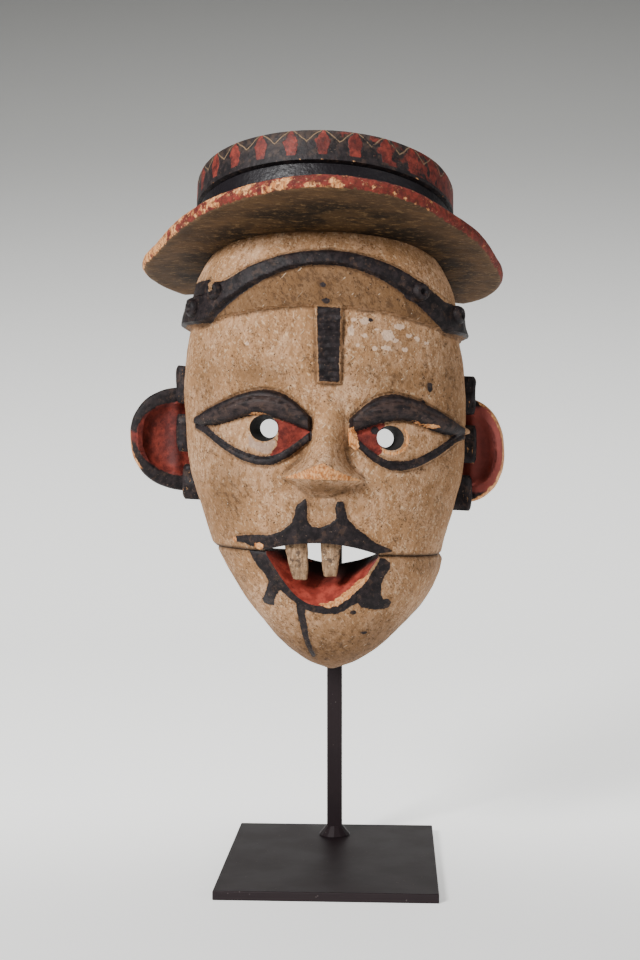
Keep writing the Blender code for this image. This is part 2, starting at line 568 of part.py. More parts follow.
# The stand: plate, square rod with its weld bead, and the arm that carries the mask by its roof
stand_origin = empty("stand_origin", (0, 0, 0))
plate = box_between((-PLATE_WIDTH / 2, -PLATE_DEPTH / 2, 0),
                    (PLATE_WIDTH / 2, PLATE_DEPTH / 2, PLATE_THICKNESS), PLATE_EDGE)
finish(plate, "base_plate", parts, stand_origin, steel)

rod_y = BACK_RIM * STEP + ROD_STANDOFF + ROD_SIDE / 2
rod_foot = PLATE_THICKNESS + GAP
roof_height = float(place((0, 0, roof))[2])
arm_top = roof_height - ARM_DROP
rod = box_between((-ROD_SIDE / 2, rod_y - ROD_SIDE / 2, rod_foot),
                  (ROD_SIDE / 2, rod_y + ROD_SIDE / 2, arm_top), ROD_EDGE)
rod = finish(rod, "support_rod", parts, stand_origin, steel)
weld = bmesh.new()
bmesh.ops.create_cone(weld, cap_ends=True, segments=14, radius1=WELD_RADIUS, radius2=WELD_TOP_RADIUS,
                      depth=WELD_HEIGHT)
bmesh.ops.translate(weld, verts=weld.verts, vec=(0, rod_y, rod_foot + WELD_HEIGHT / 2))
combine(rod, finish(weld, "weld_form", cutters), "UNION")

arm_back = rod_y - ROD_SIDE / 2 - GAP
arm = box_between((-ROD_SIDE / 2, arm_back - ARM_REACH, arm_top - ROD_SIDE),
                  (ROD_SIDE / 2, arm_back, arm_top), ROD_EDGE)
arm = finish(arm, "mask_bracket", parts, stand_origin, steel)
post_y = arm_back - ARM_REACH + ROD_SIDE / 2
post_half = ROD_SIDE * POST_SHARE / 2
post = box_between((-post_half, post_y - post_half, arm_top - post_half),
                   (post_half, post_y + post_half, roof_height - PAD_THICKNESS / 2), ROD_EDGE)
pad_low = ((-PAD_WIDTH / 2) / STEP, (post_y - PAD_DEPTH / 2) / STEP, roof - (GAP + PAD_THICKNESS) / STEP)
pad_high = ((PAD_WIDTH / 2) / STEP, (post_y + PAD_DEPTH / 2) / STEP, roof - GAP / STEP)
combine(arm, finish(post, "post_form", cutters), "UNION")
combine(arm, finish(placed(box_between(pad_low, pad_high)), "pad_form", cutters), "UNION")
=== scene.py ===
"""Carved and painted mask with a hinged jaw on its steel stand: every piece's shape and finish."""
import itertools
import math

import bpy
import numpy as np
from mathutils import Matrix, Vector


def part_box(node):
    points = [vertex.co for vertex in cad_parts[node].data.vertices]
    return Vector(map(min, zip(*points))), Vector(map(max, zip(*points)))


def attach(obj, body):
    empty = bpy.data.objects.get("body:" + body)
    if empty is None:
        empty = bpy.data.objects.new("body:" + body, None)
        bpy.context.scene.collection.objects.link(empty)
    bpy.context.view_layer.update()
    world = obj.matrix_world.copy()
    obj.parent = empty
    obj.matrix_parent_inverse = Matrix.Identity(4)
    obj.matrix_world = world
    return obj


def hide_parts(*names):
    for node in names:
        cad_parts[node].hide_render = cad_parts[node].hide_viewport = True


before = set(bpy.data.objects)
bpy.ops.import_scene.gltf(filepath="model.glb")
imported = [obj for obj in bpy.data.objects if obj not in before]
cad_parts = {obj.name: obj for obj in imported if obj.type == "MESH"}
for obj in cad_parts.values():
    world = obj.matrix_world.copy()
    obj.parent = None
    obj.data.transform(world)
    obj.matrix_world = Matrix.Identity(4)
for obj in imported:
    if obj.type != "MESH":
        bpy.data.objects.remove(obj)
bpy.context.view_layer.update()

# Camera
# A long lens a little under the hat's brim and a little to the right of the nose, as the photograph
# was taken.
SENSOR_HEIGHT, FOCAL_SHARE = 36.0, 1450 / 960
lens_from = Vector((0.0324, -0.7436, 0.2069))
yaw, pitch = math.radians(2.94), math.radians(-0.704)
looks = Vector((-math.sin(yaw) * math.cos(pitch), math.cos(yaw) * math.cos(pitch), math.sin(pitch)))
camera = bpy.data.objects.new("camera", bpy.data.cameras.new("camera"))
camera.data.sensor_fit = "VERTICAL"
camera.data.sensor_height = SENSOR_HEIGHT
camera.data.lens = SENSOR_HEIGHT * FOCAL_SHARE
camera.data.clip_start = 0.01
camera.location = lens_from
camera.rotation_euler = looks.to_track_quat("-Z", "Y").to_euler()
bpy.context.scene.collection.objects.link(camera)
bpy.context.scene.camera = camera

# Steel stand: plate, bar and hidden bracket
# Flat steel plate and square bar, welded, ground and blackened, with a thin satin coat that has
# gathered dust. The solids have the true shape, so they only get the finish.


def tint(red, green, blue):
    """A colour as it is seen on screen, for a shader."""
    screen = np.array((red, green, blue)) / 255
    return tuple(np.where(screen < 0.0404, screen / 12.92, ((screen + 0.055) / 1.055) ** 2.4)) + (1.0,)


class Wire:
    """A number, colour or vector on its way through a finish."""

    def __init__(self, finish, socket):
        self.finish, self.socket = finish, socket

    def maths(self, operation, *values):
        return self.finish.node("ShaderNodeMath", {"operation": operation}, dict(enumerate(values)))

    def __add__(self, other):
        return self.maths("ADD", self, other)

    def __sub__(self, other):
        return self.maths("SUBTRACT", self, other)

    def __rsub__(self, other):
        return self.maths("SUBTRACT", other, self)

    def __mul__(self, other):
        return self.maths("MULTIPLY", self, other)

    __radd__, __rmul__ = __add__, __mul__

    def most(self, other):
        return self.maths("MAXIMUM", self, other)

    def least(self, other):
        return self.maths("MINIMUM", self, other)

    def size(self):
        return self.maths("ABSOLUTE", self)

    def fold(self, reach):
        """Runs up to reach and back down, over and over."""
        return self.maths("PINGPONG", self, reach)

    def past(self, line, soft):
        """0 below the line and 1 past it, over a soft edge."""
        return self.finish.node("ShaderNodeMapRange", {"interpolation_type": "SMOOTHSTEP"},
                                {0: self, 1: line - soft / 2, 2: line + soft / 2})


class Finish:
    """One finish of the object, as a material, with the nodes that it's made of."""

    def __init__(self, name, metallic=0.0, specular=0.5):
        self.material = bpy.data.materials.new(name)
        self.material.use_nodes = True
        self.tree = self.material.node_tree
        self.shader = self.tree.nodes["Principled BSDF"]
        self.shader.inputs["Metallic"].default_value = metallic
        self.shader.inputs["Specular IOR Level"].default_value = specular

    def node(self, kind, settings, values, output=0):
        made = self.tree.nodes.new(kind)
        for name, setting in settings.items():
            setattr(made, name, setting)
        for name, value in values.items():
            self.feed(made.inputs[name], value)
        return Wire(self, made.outputs[output])

    def feed(self, socket, value):
        if isinstance(value, Wire):
            self.tree.links.new(value.socket, socket)
        else:
            socket.default_value = value

    def place(self, size, stretch=(1, 1, 1), turn=0.0):
        """Where a point is, counted in pattern sizes given in mm; turn is about the depth axis."""
        here = self.node("ShaderNodeTexCoord", {}, {}, output=3)
        return self.node("ShaderNodeMapping", {"vector_type": "TEXTURE"},
                         {0: here, 2: (0, turn, 0), 3: [size * part / 1000 for part in stretch]})

    def clouds(self, size, detail=2.0, stretch=(1, 1, 1), seed=0.0, rough=0.55, turn=0.0):
        """Soft noise between 0 and 1, with lumps of the size given in mm."""
        return self.node("ShaderNodeTexNoise", {"noise_dimensions": "4D"},
                         {"Vector": self.place(size, stretch, turn), "W": seed, "Scale": 1.0,
                          "Detail": detail, "Roughness": rough})

    def cells(self, size):
        """Distance from scattered points that stand about the size given in mm apart."""
        return self.node("ShaderNodeTexVoronoi", {}, {"Vector": self.place(size), "Scale": 1.0})

    def field(self, name):
        """A reading that the mesh carries at each point."""
        return self.node("ShaderNodeAttribute", {"attribute_name": name}, {}, output=2)

    def over(self, share, under, top):
        """Colour top laid over colour under, where share is 1."""
        return self.node("ShaderNodeMix", {"data_type": "RGBA"}, {0: share, 6: under, 7: top}, output=2)

    def patched(self, color, tone, line, soft, share, *size_and_detail, **pattern):
        """Colour with cloudy patches of another tone laid over it, as strong as share."""
        patches = self.clouds(*size_and_detail, **pattern).past(line, soft)
        return self.over(patches * share, color, tint(*tone))

    def wear(self, color, roughness, height_mm):
        """Sets what changes over the surface: colour, roughness, and relief in mm."""
        self.feed(self.shader.inputs["Base Color"], color)
        self.feed(self.shader.inputs["Roughness"], roughness)
        bump = self.node("ShaderNodeBump", {}, {"Height": height_mm, "Distance": 0.001, "Strength": 1.0})
        self.feed(self.shader.inputs["Normal"], bump)
        return self.material


steel = Finish("blackened_steel", metallic=0.2, specular=0.3)
smudge = steel.clouds(26, 4).past(0.52, 0.4)
dust = 1 - steel.cells(2.4).past(0.10, 0.08)
dust = dust * steel.clouds(7, 2, seed=3).past(0.56, 0.1)
steel_color = steel.over(smudge * 0.4, tint(29, 19, 22), tint(38, 27, 29))
steel_color = steel.over(dust * 0.65, steel_color, tint(132, 122, 118))
blackened = steel.wear(steel_color, 0.5 + 0.06 * smudge + 0.2 * dust,
                       0.02 * steel.clouds(0.8, 3) + 0.05 * steel.clouds(6, 2) + 0.03 * dust)
for name in ("base_plate", "support_rod", "mask_bracket"):
    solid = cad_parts[name]
    solid.data.materials.clear()
    solid.data.materials.append(blackened)

# The carved block: face, cap, hat, ears and temple bars
# One block of light wood, carved, hollowed from the back, primed and painted in cream, black and red.
# The parts are shaped one by one from the same lines as the solids, then joined into one skin.
STEP = 0.001
CHIN, SPLIT, SIDE_Y, BACK_RIM = 103.0, 163.0, -5.0, 27.0
CUT_PAST = 20.0
ROUNDNESS = 2.3
FACE_ROWS, FACE_COLUMNS, HOLLOW_COLUMNS = 205, 235, 90
SHARPEST = math.radians(38)
MIDDLE = ((103, 0.3), (150, 0.3), (163, -1.6), (190, -2.2), (240, -3.0), (268, -3.3), (330, -2.7))
FACE_HALF_WIDTH = ((163, 57.5), (178, 62), (188, 65), (198, 68), (220, 70.8), (238, 71.3), (268, 68.6),
                   (284, 64.8), (293, 62.8), (303, 58.5), (313, 52.5), (330, 45))
FACE_FRONT = ((163, -50.5), (172, -52), (185, -53.5), (200, -54), (220, -54), (240, -55), (260, -56),
              (281, -56), (293, -55.5), (303, -54), (313, -49), (330, -40))
FACE, BRIM, CROWN, EAR, BARS, INSIDE = range(6)
EYES = ((-64.8, -7.6), (66.4, 11.6))
EYE_HOLES, EYE_BORES = ((-30.1, 222.1), (31.2, 219.6)), (math.radians(-10), math.radians(16))
BROW_LINE = ((0, 226), (0.17, 231.7), (0.35, 236.5), (0.47, 238.8), (0.63, 240.2), (0.79, 237.8),
             (0.93, 232), (1, 228))
LID_LINE = ((0, 223), (0.12, 222.8), (0.28, 224.3), (0.45, 227.6), (0.56, 228.6), (0.66, 227.8),
            (0.8, 225.6), (0.93, 222.8), (1, 221.5))
LOWER_LID = ((0, 223), (0.06, 221.5), (0.18, 216.5), (0.33, 211), (0.46, 207.8), (0.58, 206.5),
             (0.68, 207), (0.8, 210.3), (0.92, 215.5), (1, 219))
KNOBS = ((-50.5, 287.5), (41.5, 290.0), (-61.5, 279.6), (58.0, 281.6))
CAP_PROUD, CAP_LINE, CAP_LINE_FALL, CAP_LINE_REACH = 2.6, 281, 0.0025, 62
BAND_PROUD, BAND_BACK = 3.0, 9
BAND_TOP, BAND_TOP_FALL, BAND_TOP_AT_SIDES = 307.2, 0.0065, 286.0
BAND_LOW, BAND_LOW_FALL, BAND_LOW_AT_SIDES = 300.7, 0.0088, 272.5
BAR_X, BAR_TOP, BAR_FOOT, BAR_LENGTH = 1.4, 281, 244.6, 36.4
BAR_HALF, BAR_TAPER, BAR_PROUD, RIB_APART = 6.3, 0.9, 2.6, 3.3
BREAK_TOP, BREAK_AT, BREAK_PROUD, BREAK_SLOPE, BREAK_FLOOR = 209, 205.8, 16.6, 0.55, 4
NOSE_EDGE = 198.6
NOSE_RIDGE = ((196, 19), (199, 19.5), (203, 18.2), (206.5, 16.5), (212, 12.5), (218, 8.5), (229, 4), (243, 0))
NOSE_HALF = ((189, 19), (197, 20.2), (199, 20.2), (202.2, 17), (206.6, 12.4), (214, 9.2), (229, 8), (243, 7))
NOSE_FOOT = ((-22, 198.5), (-19.4, 197.4), (-13.3, 194.4), (-7.8, 190.6), (0.6, 190.2), (7.9, 193.2),
             (16.2, 197), (20, 198.6))
MOUSTACHE = ((-44.7, 169.3), (-35.2, 170.7), (-28, 170.8), (-21.7, 172.7), (-17, 177.1), (-15.4, 181),
             (-14.7, 184.9), (-10, 189.3), (-8.9, 186.7), (-9.2, 179), (-7.1, 176.1), (-2.5, 175.5),
             (1.3, 177.6), (4.8, 180.4), (4.2, 186.1), (5.2, 188.4), (8.2, 188.5), (9.1, 184.4),
             (10.1, 180.6), (14.2, 176.1), (18.7, 172.8), (24, 168.8), (30.1, 166.6), (31.3, 165),
             (25.6, 162), (-2.6, 160), (-30.5, 160), (-44.3, 163))


def along(stations, at):
    """Smooth curve through the stations, read at each value of at."""
    where, value = np.array(stations, float).T
    slope = np.gradient(value, where)
    at = np.clip(at, where[0], where[-1])
    i = np.clip(np.searchsorted(where, at) - 1, 0, len(where) - 2)
    span = where[i + 1] - where[i]
    t = (at - where[i]) / span
    return ((1 + 2 * t) * (1 - t) ** 2 * value[i] + t * (1 - t) ** 2 * span * slope[i]
            + t * t * (3 - 2 * t) * value[i + 1] - t * t * (1 - t) * span * slope[i + 1])


def rise(distance, edge):
    """0 outside a line and 1 inside it, over an edge of the stated width."""
    t = np.clip(distance / edge + 0.5, 0, 1)
    return t * t * (3 - 2 * t)


def slant(z):
    """How far the carving drops for each mm to the right: less at the hat than on the face."""
    return np.interp(z, (290, 312), (0.040, 0.025))


def place(points):
    """Carver's places, in mm with the slant left out, to metres on the object."""
    x, y, z = np.moveaxis(np.asarray(points, float), -1, 0)
    return np.stack([x * STEP, y * STEP, (z - slant(z) * x) * STEP], axis=-1)


def unplace(points):
    """Metres on the object back to the carver's places."""
    x, y, z = np.moveaxis(np.asarray(points, float) / STEP, -1, 0)
    level = z
    for _ in range(3):
        level = z + slant(level) * x
    return x, y, level


chance = np.random.default_rng(11).random(4096)


def lumps(x, y, z, size, seed=0):
    """Soft random lumps of the stated size in mm, from -1 to 1, the same on every run."""
    spot = np.stack(np.broadcast_arrays(x, y, z), axis=-1) / size + 31.7 * (seed + 1)
    cell = np.floor(spot).astype(np.int64)
    part = spot - cell
    part = part * part * (3 - 2 * part)
    total = 0
    for corner in itertools.product((0, 1), repeat=3):
        i, j, k = np.moveaxis(cell + corner, -1, 0)
        share = np.prod(np.where(np.array(corner) == 1, part, 1 - part), axis=-1)
        total = total + share * chance[(i * 73856093 ^ j * 19349663 ^ k * 83492791) % 4096]
    return 2 * total - 1


def inside(x, z, outline):
    """How far each point is inside an outline, in mm, and less than 0 outside it."""
    edge = np.full(np.shape(x), 1e9)
    within = np.zeros(np.shape(x), bool)
    for (x0, z0), (x1, z1) in zip(outline, outline[1:] + outline[:1]):
        run, climb = x1 - x0, z1 - z0
        share = np.clip(((x - x0) * run + (z - z0) * climb) / (run ** 2 + climb ** 2), 0, 1)
        edge = np.minimum(edge, np.hypot(x - x0 - share * run, z - z0 - share * climb))
        if z0 != z1:
            crosses = ((z0 > z) != (z1 > z)) & (x < run * (z - z0) / climb + x0)
            within ^= crosses
    return np.where(within, edge, -edge)


def eye_share(x, outer, inner):
    """0 at an eye's outer corner and 1 at its inner one."""
    return np.clip((x - outer) / (inner - outer), 0, 1)


def eye_relief(x, z, outer, inner):
    """Brow, creased upper lid, eyeball and lower lid of one eye."""
    s = eye_share(x, outer, inner)
    brow, lid, low = along(BROW_LINE, s), along(LID_LINE, s), along(LOWER_LID, s)
    ends = rise(np.minimum(abs(x - outer), abs(inner - x)) * np.sign((x - outer) * (inner - x)), 1.6)
    share = np.clip((z - lid) / (brow - lid), 0, 1)
    lids = (1.9 + 2.7 * np.sqrt(4 * share * (1 - share))) * rise(np.minimum(brow - z, z - lid), 1.1)
    crease = lid + (brow - lid) * (0.62 + 0.1 * s)
    lids = lids - 0.9 * np.exp(-((z - crease) / 0.6) ** 2) * rise(s - 0.22, 0.2) * rise(0.9 - s, 0.2)
    within = np.clip((z - low) / np.maximum(lid - low, 1), 0, 1)
    ball = 2.0 * np.sin(math.pi * s) * (4 * within * (1 - within)) ** 0.7
    fold = 0.6 * np.exp(-((z - low - 0.7) / 0.5) ** 2) * rise(0.7 - s, 0.3)
    lower = 2.0 * rise(2.2 - abs(z - low), 1.3) - fold
    cut = 0.8 * np.exp(-((z - brow - 0.7) / 0.9) ** 2)
    return ends * np.maximum(np.maximum(lids, lower), ball), ends * cut


def nose_relief(x, z):
    """A wedge that widens to its wings, its tip broken off to a flat face over a sharp lower edge."""
    level = np.maximum(z, NOSE_EDGE)
    middle = np.interp(level, (203, 217), (-1.5, 0.6))
    across = np.clip(1 - abs(x - middle) / along(NOSE_HALF, level), 0, 1)
    whole = np.maximum(along(NOSE_RIDGE, level), 0) * (1 - (1 - across) ** 1.7)
    broken = BREAK_PROUD - BREAK_SLOPE * (BREAK_AT - level) - 0.03 * (x - middle) ** 2
    broken = np.maximum(broken, BREAK_FLOOR)
    proud = np.minimum(whole, np.where(level < BREAK_TOP, broken, 99))
    foot = np.interp(x, *np.array(NOSE_FOOT).T)
    under = np.clip((z - foot) / np.maximum(NOSE_EDGE - foot, 0.5), 0, 1)
    split_off = rise(whole - broken, 0.6) * rise(z - NOSE_EDGE, 0.5) * rise(206.6 - z, 1.2)
    return proud * under, split_off * (abs(x) < 19)


def band_lines(x):
    """The headband's upper and lower line."""
    top = np.maximum(BAND_TOP - BAND_TOP_FALL * x ** 2, BAND_TOP_AT_SIDES)
    return top, np.maximum(BAND_LOW - BAND_LOW_FALL * x ** 2, BAND_LOW_AT_SIDES)


def face_relief(x, y, z):
    """How far the carving stands off the plain head, in mm."""
    side = np.minimum(abs(x), CAP_LINE_REACH)
    cap = CAP_PROUD * rise(z - CAP_LINE + CAP_LINE_FALL * side ** 2 + 0.3 * lumps(x, y, z, 9, 1), 1.5)
    top, low = band_lines(x)
    low = low + 0.5 * lumps(x, y, z, 5, 2)
    band = (BAND_PROUD + 0.45 * lumps(x, y, z, 6, 3)) * rise(np.minimum(top - z, z - low), 1.5)
    band = band * rise(BAND_BACK - y, 2)
    down = np.clip((BAR_TOP - z) / BAR_LENGTH, 0, 1)
    bar_half = BAR_HALF - BAR_TAPER * down
    bar_in = np.minimum(bar_half - abs(x - BAR_X), np.minimum(BAR_TOP - z, z - BAR_FOOT))
    ribs = 0.42 * np.sin(2 * math.pi * (z + 0.9 * lumps(x, y, z, 6, 4)) / RIB_APART)
    ribs = ribs + 0.25 * lumps(x, y, z, 2.5, 5)
    bar = (BAR_PROUD + ribs) * rise(bar_in, 1.3)
    eyes, cuts = sum(np.array(eye_relief(x, z, outer, inner)) for outer, inner in EYES)
    nose, _ = nose_relief(x, z)
    lip = 1.3 * rise(inside(x, z, MOUSTACHE), 1.4)
    tooling = 0.45 * lumps(x, y, z, 15, 6) + 0.22 * lumps(x, y, z, 6, 7) + 0.08 * lumps(x, y, z, 2.4, 8)
    scoop = 0.9 * np.exp(-((abs(x + 2) - 24) / 9) ** 2 - ((z - 190) / 10) ** 2)
    scoop = scoop + 1.5 * np.exp(-((abs(x - 0.6) - 12.5) / 4.5) ** 2 - ((z - 212) / 9) ** 2)
    seam = 1.1 * np.exp(-((z - SPLIT + 0.3 * lumps(x, y, 0, 7, 9)) / 1.0) ** 2)
    return cap + band + bar + np.maximum(eyes, nose) + lip + tooling - scoop - seam - cuts


def plan_section(middle, half_width, front, columns, back=BACK_RIM + 5.0):
    """Points round one level of the head: up one side, across the front and back down the other."""
    turn = np.linspace(-math.pi / 2, math.pi / 2, 481)
    x = half_width * np.sign(np.sin(turn)) * abs(np.sin(turn)) ** (2 / ROUNDNESS)
    y = SIDE_Y + (front - SIDE_Y) * np.cos(turn).clip(0) ** (2 / ROUNDNESS)
    x = np.concatenate([[-half_width], x, [half_width]])
    y = np.concatenate([[back], y, [back]])
    walked = np.concatenate([[0], np.cumsum(np.hypot(np.diff(x), np.diff(y)))])
    frontal = np.clip(1 - (np.abs(x) / half_width) ** 8, 0, 1) + 0.6
    weight = np.concatenate([[0], np.cumsum(np.diff(walked) * (frontal[1:] + frontal[:-1]))])
    at = np.interp(np.linspace(0, weight[-1], columns), weight, walked)
    return middle + np.interp(at, walked, x), np.interp(at, walked, y)


def skin(name, rings, kind):
    """A closed skin over rings of equal count, given in the carver's places, with one of the finishes."""
    rings = np.asarray(rings, float)
    rows, count = rings.shape[:2]
    here = np.arange(rows * count).reshape(rows, count)
    low, high = here[:-1], here[1:]
    quads = np.stack([low, np.roll(low, -1, 1), np.roll(high, -1, 1), high], axis=-1).reshape(-1, 4)
    mesh = bpy.data.meshes.new(name)
    mesh.from_pydata(place(rings).reshape(-1, 3).tolist(), [],
                     quads.tolist() + [here[0, ::-1].tolist(), here[-1].tolist()])
    made = bpy.data.objects.new(name, mesh)
    bpy.context.scene.collection.objects.link(made)
    for _ in range(6):
        mesh.materials.append(None)
    mesh.polygons.foreach_set("material_index", [kind] * len(mesh.polygons))
    bpy.ops.object.select_all(action="DESELECT")
    made.select_set(True)
    bpy.context.view_layer.objects.active = made
    bpy.ops.object.mode_set(mode="EDIT")
    bpy.ops.mesh.select_all(action="SELECT")
    bpy.ops.mesh.remove_doubles(threshold=1e-6)
    bpy.ops.mesh.normals_make_consistent(inside=False)
    bpy.ops.object.mode_set(mode="OBJECT")
    return made


def join(target, other, operation):
    """Adds, cuts or bounds one closed skin by another, which is then gone."""
    made = target.modifiers.new(other.name, "BOOLEAN")
    made.operation, made.solver, made.object = operation, "MANIFOLD", other
    bpy.ops.object.select_all(action="DESELECT")
    target.select_set(True)
    bpy.context.view_layer.objects.active = target
    bpy.ops.object.modifier_apply(modifier=made.name)
    bpy.data.objects.remove(other)


def head_rings(levels, half_width, front, columns, relief, back=BACK_RIM + 5.0):
    """One ring of points for each level of a head or its hollow, with its relief raised on it."""
    rings = []
    for z, half, foremost in zip(levels, half_width, front):
        x, y = plan_section(float(along(MIDDLE, z)), half, foremost, columns, back)
        if relief is not None:
            over_x, over_y = np.gradient(x), np.gradient(y)
            length = np.hypot(over_x, over_y)
            proud = relief(x, y, np.full_like(x, z))
            proud[[0, -1]] = proud[[1, -2]]
            x, y = x + proud * over_y / length, y - proud * over_x / length
        rings.append(np.stack([x, y, np.full_like(x, z)], axis=-1))
    return rings


levels = np.concatenate([np.linspace(SPLIT, 316, FACE_ROWS), [323, 330]])
carved = skin("carved_mask", head_rings(levels, along(FACE_HALF_WIDTH, levels), along(FACE_FRONT, levels),
                                        FACE_COLUMNS, face_relief), FACE)


# Knobs on the headband: small turned studs with a dimple, standing out from the side of the head
for knob_x, knob_z in KNOBS:
    plan = np.stack(plan_section(float(along(MIDDLE, knob_z)), float(along(FACE_HALF_WIDTH, knob_z)),
                                 float(along(FACE_FRONT, knob_z)), 400), axis=-1)
    at = int(np.argmin(abs(plan[:, 0] - knob_x) + 99 * (plan[:, 1] > 5)))
    run = plan[at + 1] - plan[at - 1]
    run = np.array((*run / np.hypot(*run), 0))
    out = np.array((run[1], -run[0], 0))
    angle = np.linspace(-math.pi, math.pi, 36, endpoint=False)
    disc = np.cos(angle)[:, None] * run + np.sin(angle)[:, None] * np.array((0, 0, 1))
    centre = np.array((*plan[at], knob_z))
    rings = []
    for radius, height in ((5.0, -3), (4.7, 4.0), (4.5, 6.0), (4.1, 7.6), (3.3, 8.5), (2.3, 8.7), (1.5, 8.2),
                           (0.9, 7.2), (0.3, 6.8)):
        uneven = radius * (1 + 0.05 * lumps(angle * 3, height, knob_x, 2, 28))
        rings.append(centre + height * out + uneven[:, None] * disc)
    join(carved, skin("knob", rings, FACE), "UNION")


def turned(name, profile, segments, spot, tilt, reach, kind):
    """A shape swept round its own upright axis, tilted up in front; reach scales it by direction."""
    turn = np.linspace(-math.pi, math.pi, segments, endpoint=False)
    rings = []
    for radius, height in profile:
        x, y = radius * np.sin(turn) * reach(turn), -radius * np.cos(turn) * reach(turn)
        z = np.full_like(x, height)
        tilted_y, tilted_z = y * math.cos(tilt) + z * math.sin(tilt), z * math.cos(tilt) - y * math.sin(tilt)
        rings.append(np.stack([x, tilted_y, tilted_z], axis=-1) + spot)
    return skin(name, rings, kind)


HAT_Y, HAT_Z, HAT_SEGMENTS = -10.0, 308.0, 260
BRIM_SPOT, BRIM_TILT, BRIM_HALF = np.array((-4.0, HAT_Y, HAT_Z)), math.radians(16.5), 2.6
BRIM_REACH = ((-180, 84), (-125, 84), (-111, 91.5), (-96, 94), (-81, 84.5), (-57, 79.5), (-35, 81),
              (-17, 84.5), (5, 89), (26, 88), (52, 82.5), (68, 84), (86, 87.5), (97, 92.5), (112, 90.5),
              (123, 82), (180, 84))


def brim_reach(turn):
    """How far the brim stands out in each direction, with its chips."""
    reach = along(BRIM_REACH, np.degrees(turn))
    x, y = reach * np.sin(turn), reach * np.cos(turn)
    return reach - 0.45 * abs(lumps(x, y, 0, 5, 20)) - 0.7 * np.clip(lumps(x, y, 0, 11, 21) - 0.3, 0, 1)


shares = np.linspace(0, 0.97, 30)
thickness = BRIM_HALF + 1.1 * np.clip((shares - 0.8) / 0.17, 0, 1) ** 1.5
brim_profile = list(zip(shares, thickness))
brim_profile += [(0.985, 3.3), (0.996, 2.0), (1.0, 0.2), (0.998, -1.8), (0.985, -3.2)]
brim_profile += list(zip(shares[::-1], -thickness[::-1]))
brim = turned("brim", brim_profile, HAT_SEGMENTS, BRIM_SPOT, BRIM_TILT, brim_reach, BRIM)

CROWN_SPOT, CROWN_TILT = np.array((-3.0, HAT_Y, HAT_Z)), math.radians(15)
CROWN_MESH = 1.3
corners = ((0, 40.8), (54, 40.8), (62.2, 40.4), (64.4, 39.4), (65.2, 37.4), (65.2, 24.0), (62.8, 23.2),
           (62.7, 22.9), (64.0, 22.2), (64.0, -0.5), (0, -0.5))
crown_profile = []
for (r0, h0), (r1, h1) in zip(corners, corners[1:]):
    pieces = max(1, round(math.hypot(r1 - r0, h1 - h0) / CROWN_MESH))
    crown_profile += [(r0 + (r1 - r0) * k / pieces, h0 + (h1 - h0) * k / pieces) for k in range(pieces)]
crown = turned("crown", crown_profile + [corners[-1]], HAT_SEGMENTS, CROWN_SPOT, CROWN_TILT,
               lambda turn: 1 + 0.004 * lumps(60 * np.sin(turn), 60 * np.cos(turn), 0, 12, 23), CROWN)

# The block's flat back, with rounded corners, bounds the hat
BLOCK_MIDDLE, BLOCK_HALF_WIDTH, BLOCK_CORNER, BLOCK_FRONT, BLOCK_TOP = -4.0, 120.0, 8.0, -130.0, 420.0
bend = np.linspace(0, math.pi / 2, 8)
corner_x, corner_y = BLOCK_HALF_WIDTH - BLOCK_CORNER, BACK_RIM - BLOCK_CORNER
outline = [(-BLOCK_HALF_WIDTH, BLOCK_FRONT), (BLOCK_HALF_WIDTH, BLOCK_FRONT)]
outline += [(corner_x + BLOCK_CORNER * math.cos(a), corner_y + BLOCK_CORNER * math.sin(a)) for a in bend]
outline += [(-corner_x - BLOCK_CORNER * math.sin(a), corner_y + BLOCK_CORNER * math.cos(a)) for a in bend]
block = skin("block", [[(x + BLOCK_MIDDLE, y, z) for x, y in outline] for z in (SPLIT - CUT_PAST, BLOCK_TOP)],
             INSIDE)

join(carved, brim, "UNION")
join(carved, crown, "UNION")
join(carved, block, "INTERSECT")

# Ears: thick half-oval scoops leaning out from the sides, with a low ridge down the hollow
EAR_Z, EAR_HALF_HEIGHT, EAR_FRONT, EAR_THICKNESS, EAR_LEAN = 216.0, 27.0, 3.5, 10.0, math.radians(12)
EARS = ((-75.0, 30.0), (66.5, 22.2))
turn = np.linspace(-math.pi, math.pi, 120, endpoint=False)
ear_profile = [(r, 7.0 - 1.8 * (r / 0.55) ** 2) for r in np.linspace(0, 0.55, 12)]
ear_profile += [(0.62, 4.0), (0.68, 1.9), (0.72, 0.5), (0.75, 0.0), (0.80, 0.0), (0.88, 0.0), (0.94, 0.1),
                (0.98, 0.5), (1.0, 1.4), (1.005, 5.0), (1.0, 9.0), (0.97, 10.0), (0.6, 10.0), (0.0, 10.0)]
for middle, half_width in EARS:
    lean = -math.copysign(EAR_LEAN, middle)
    rings = []
    for r, depth in ear_profile:
        wide = 1.18 if r < 0.76 and depth < 9 else 1.0
        across = half_width * wide * r * np.sign(np.sin(turn)) * abs(np.sin(turn)) ** 0.92
        up = EAR_HALF_HEIGHT * r * np.sign(np.cos(turn)) * abs(np.cos(turn)) ** 0.88
        ridge = 2.2 * np.exp(-((across + math.copysign(6, -middle)) / 3.5) ** 2) * (depth > 0.5) * (r < 0.7)
        away = depth - EAR_THICKNESS / 2 - ridge
        worn = 1 + 0.018 * lumps(across, up, 0, 6, 24)
        across, up = across * worn, up * worn
        ear_x = middle + across * math.cos(lean) - away * math.sin(lean)
        ear_y = EAR_FRONT + EAR_THICKNESS / 2 + across * math.sin(lean) + away * math.cos(lean)
        rings.append(np.stack([ear_x, ear_y, EAR_Z + up], axis=-1))
    join(carved, skin("ear", rings, EAR), "UNION")

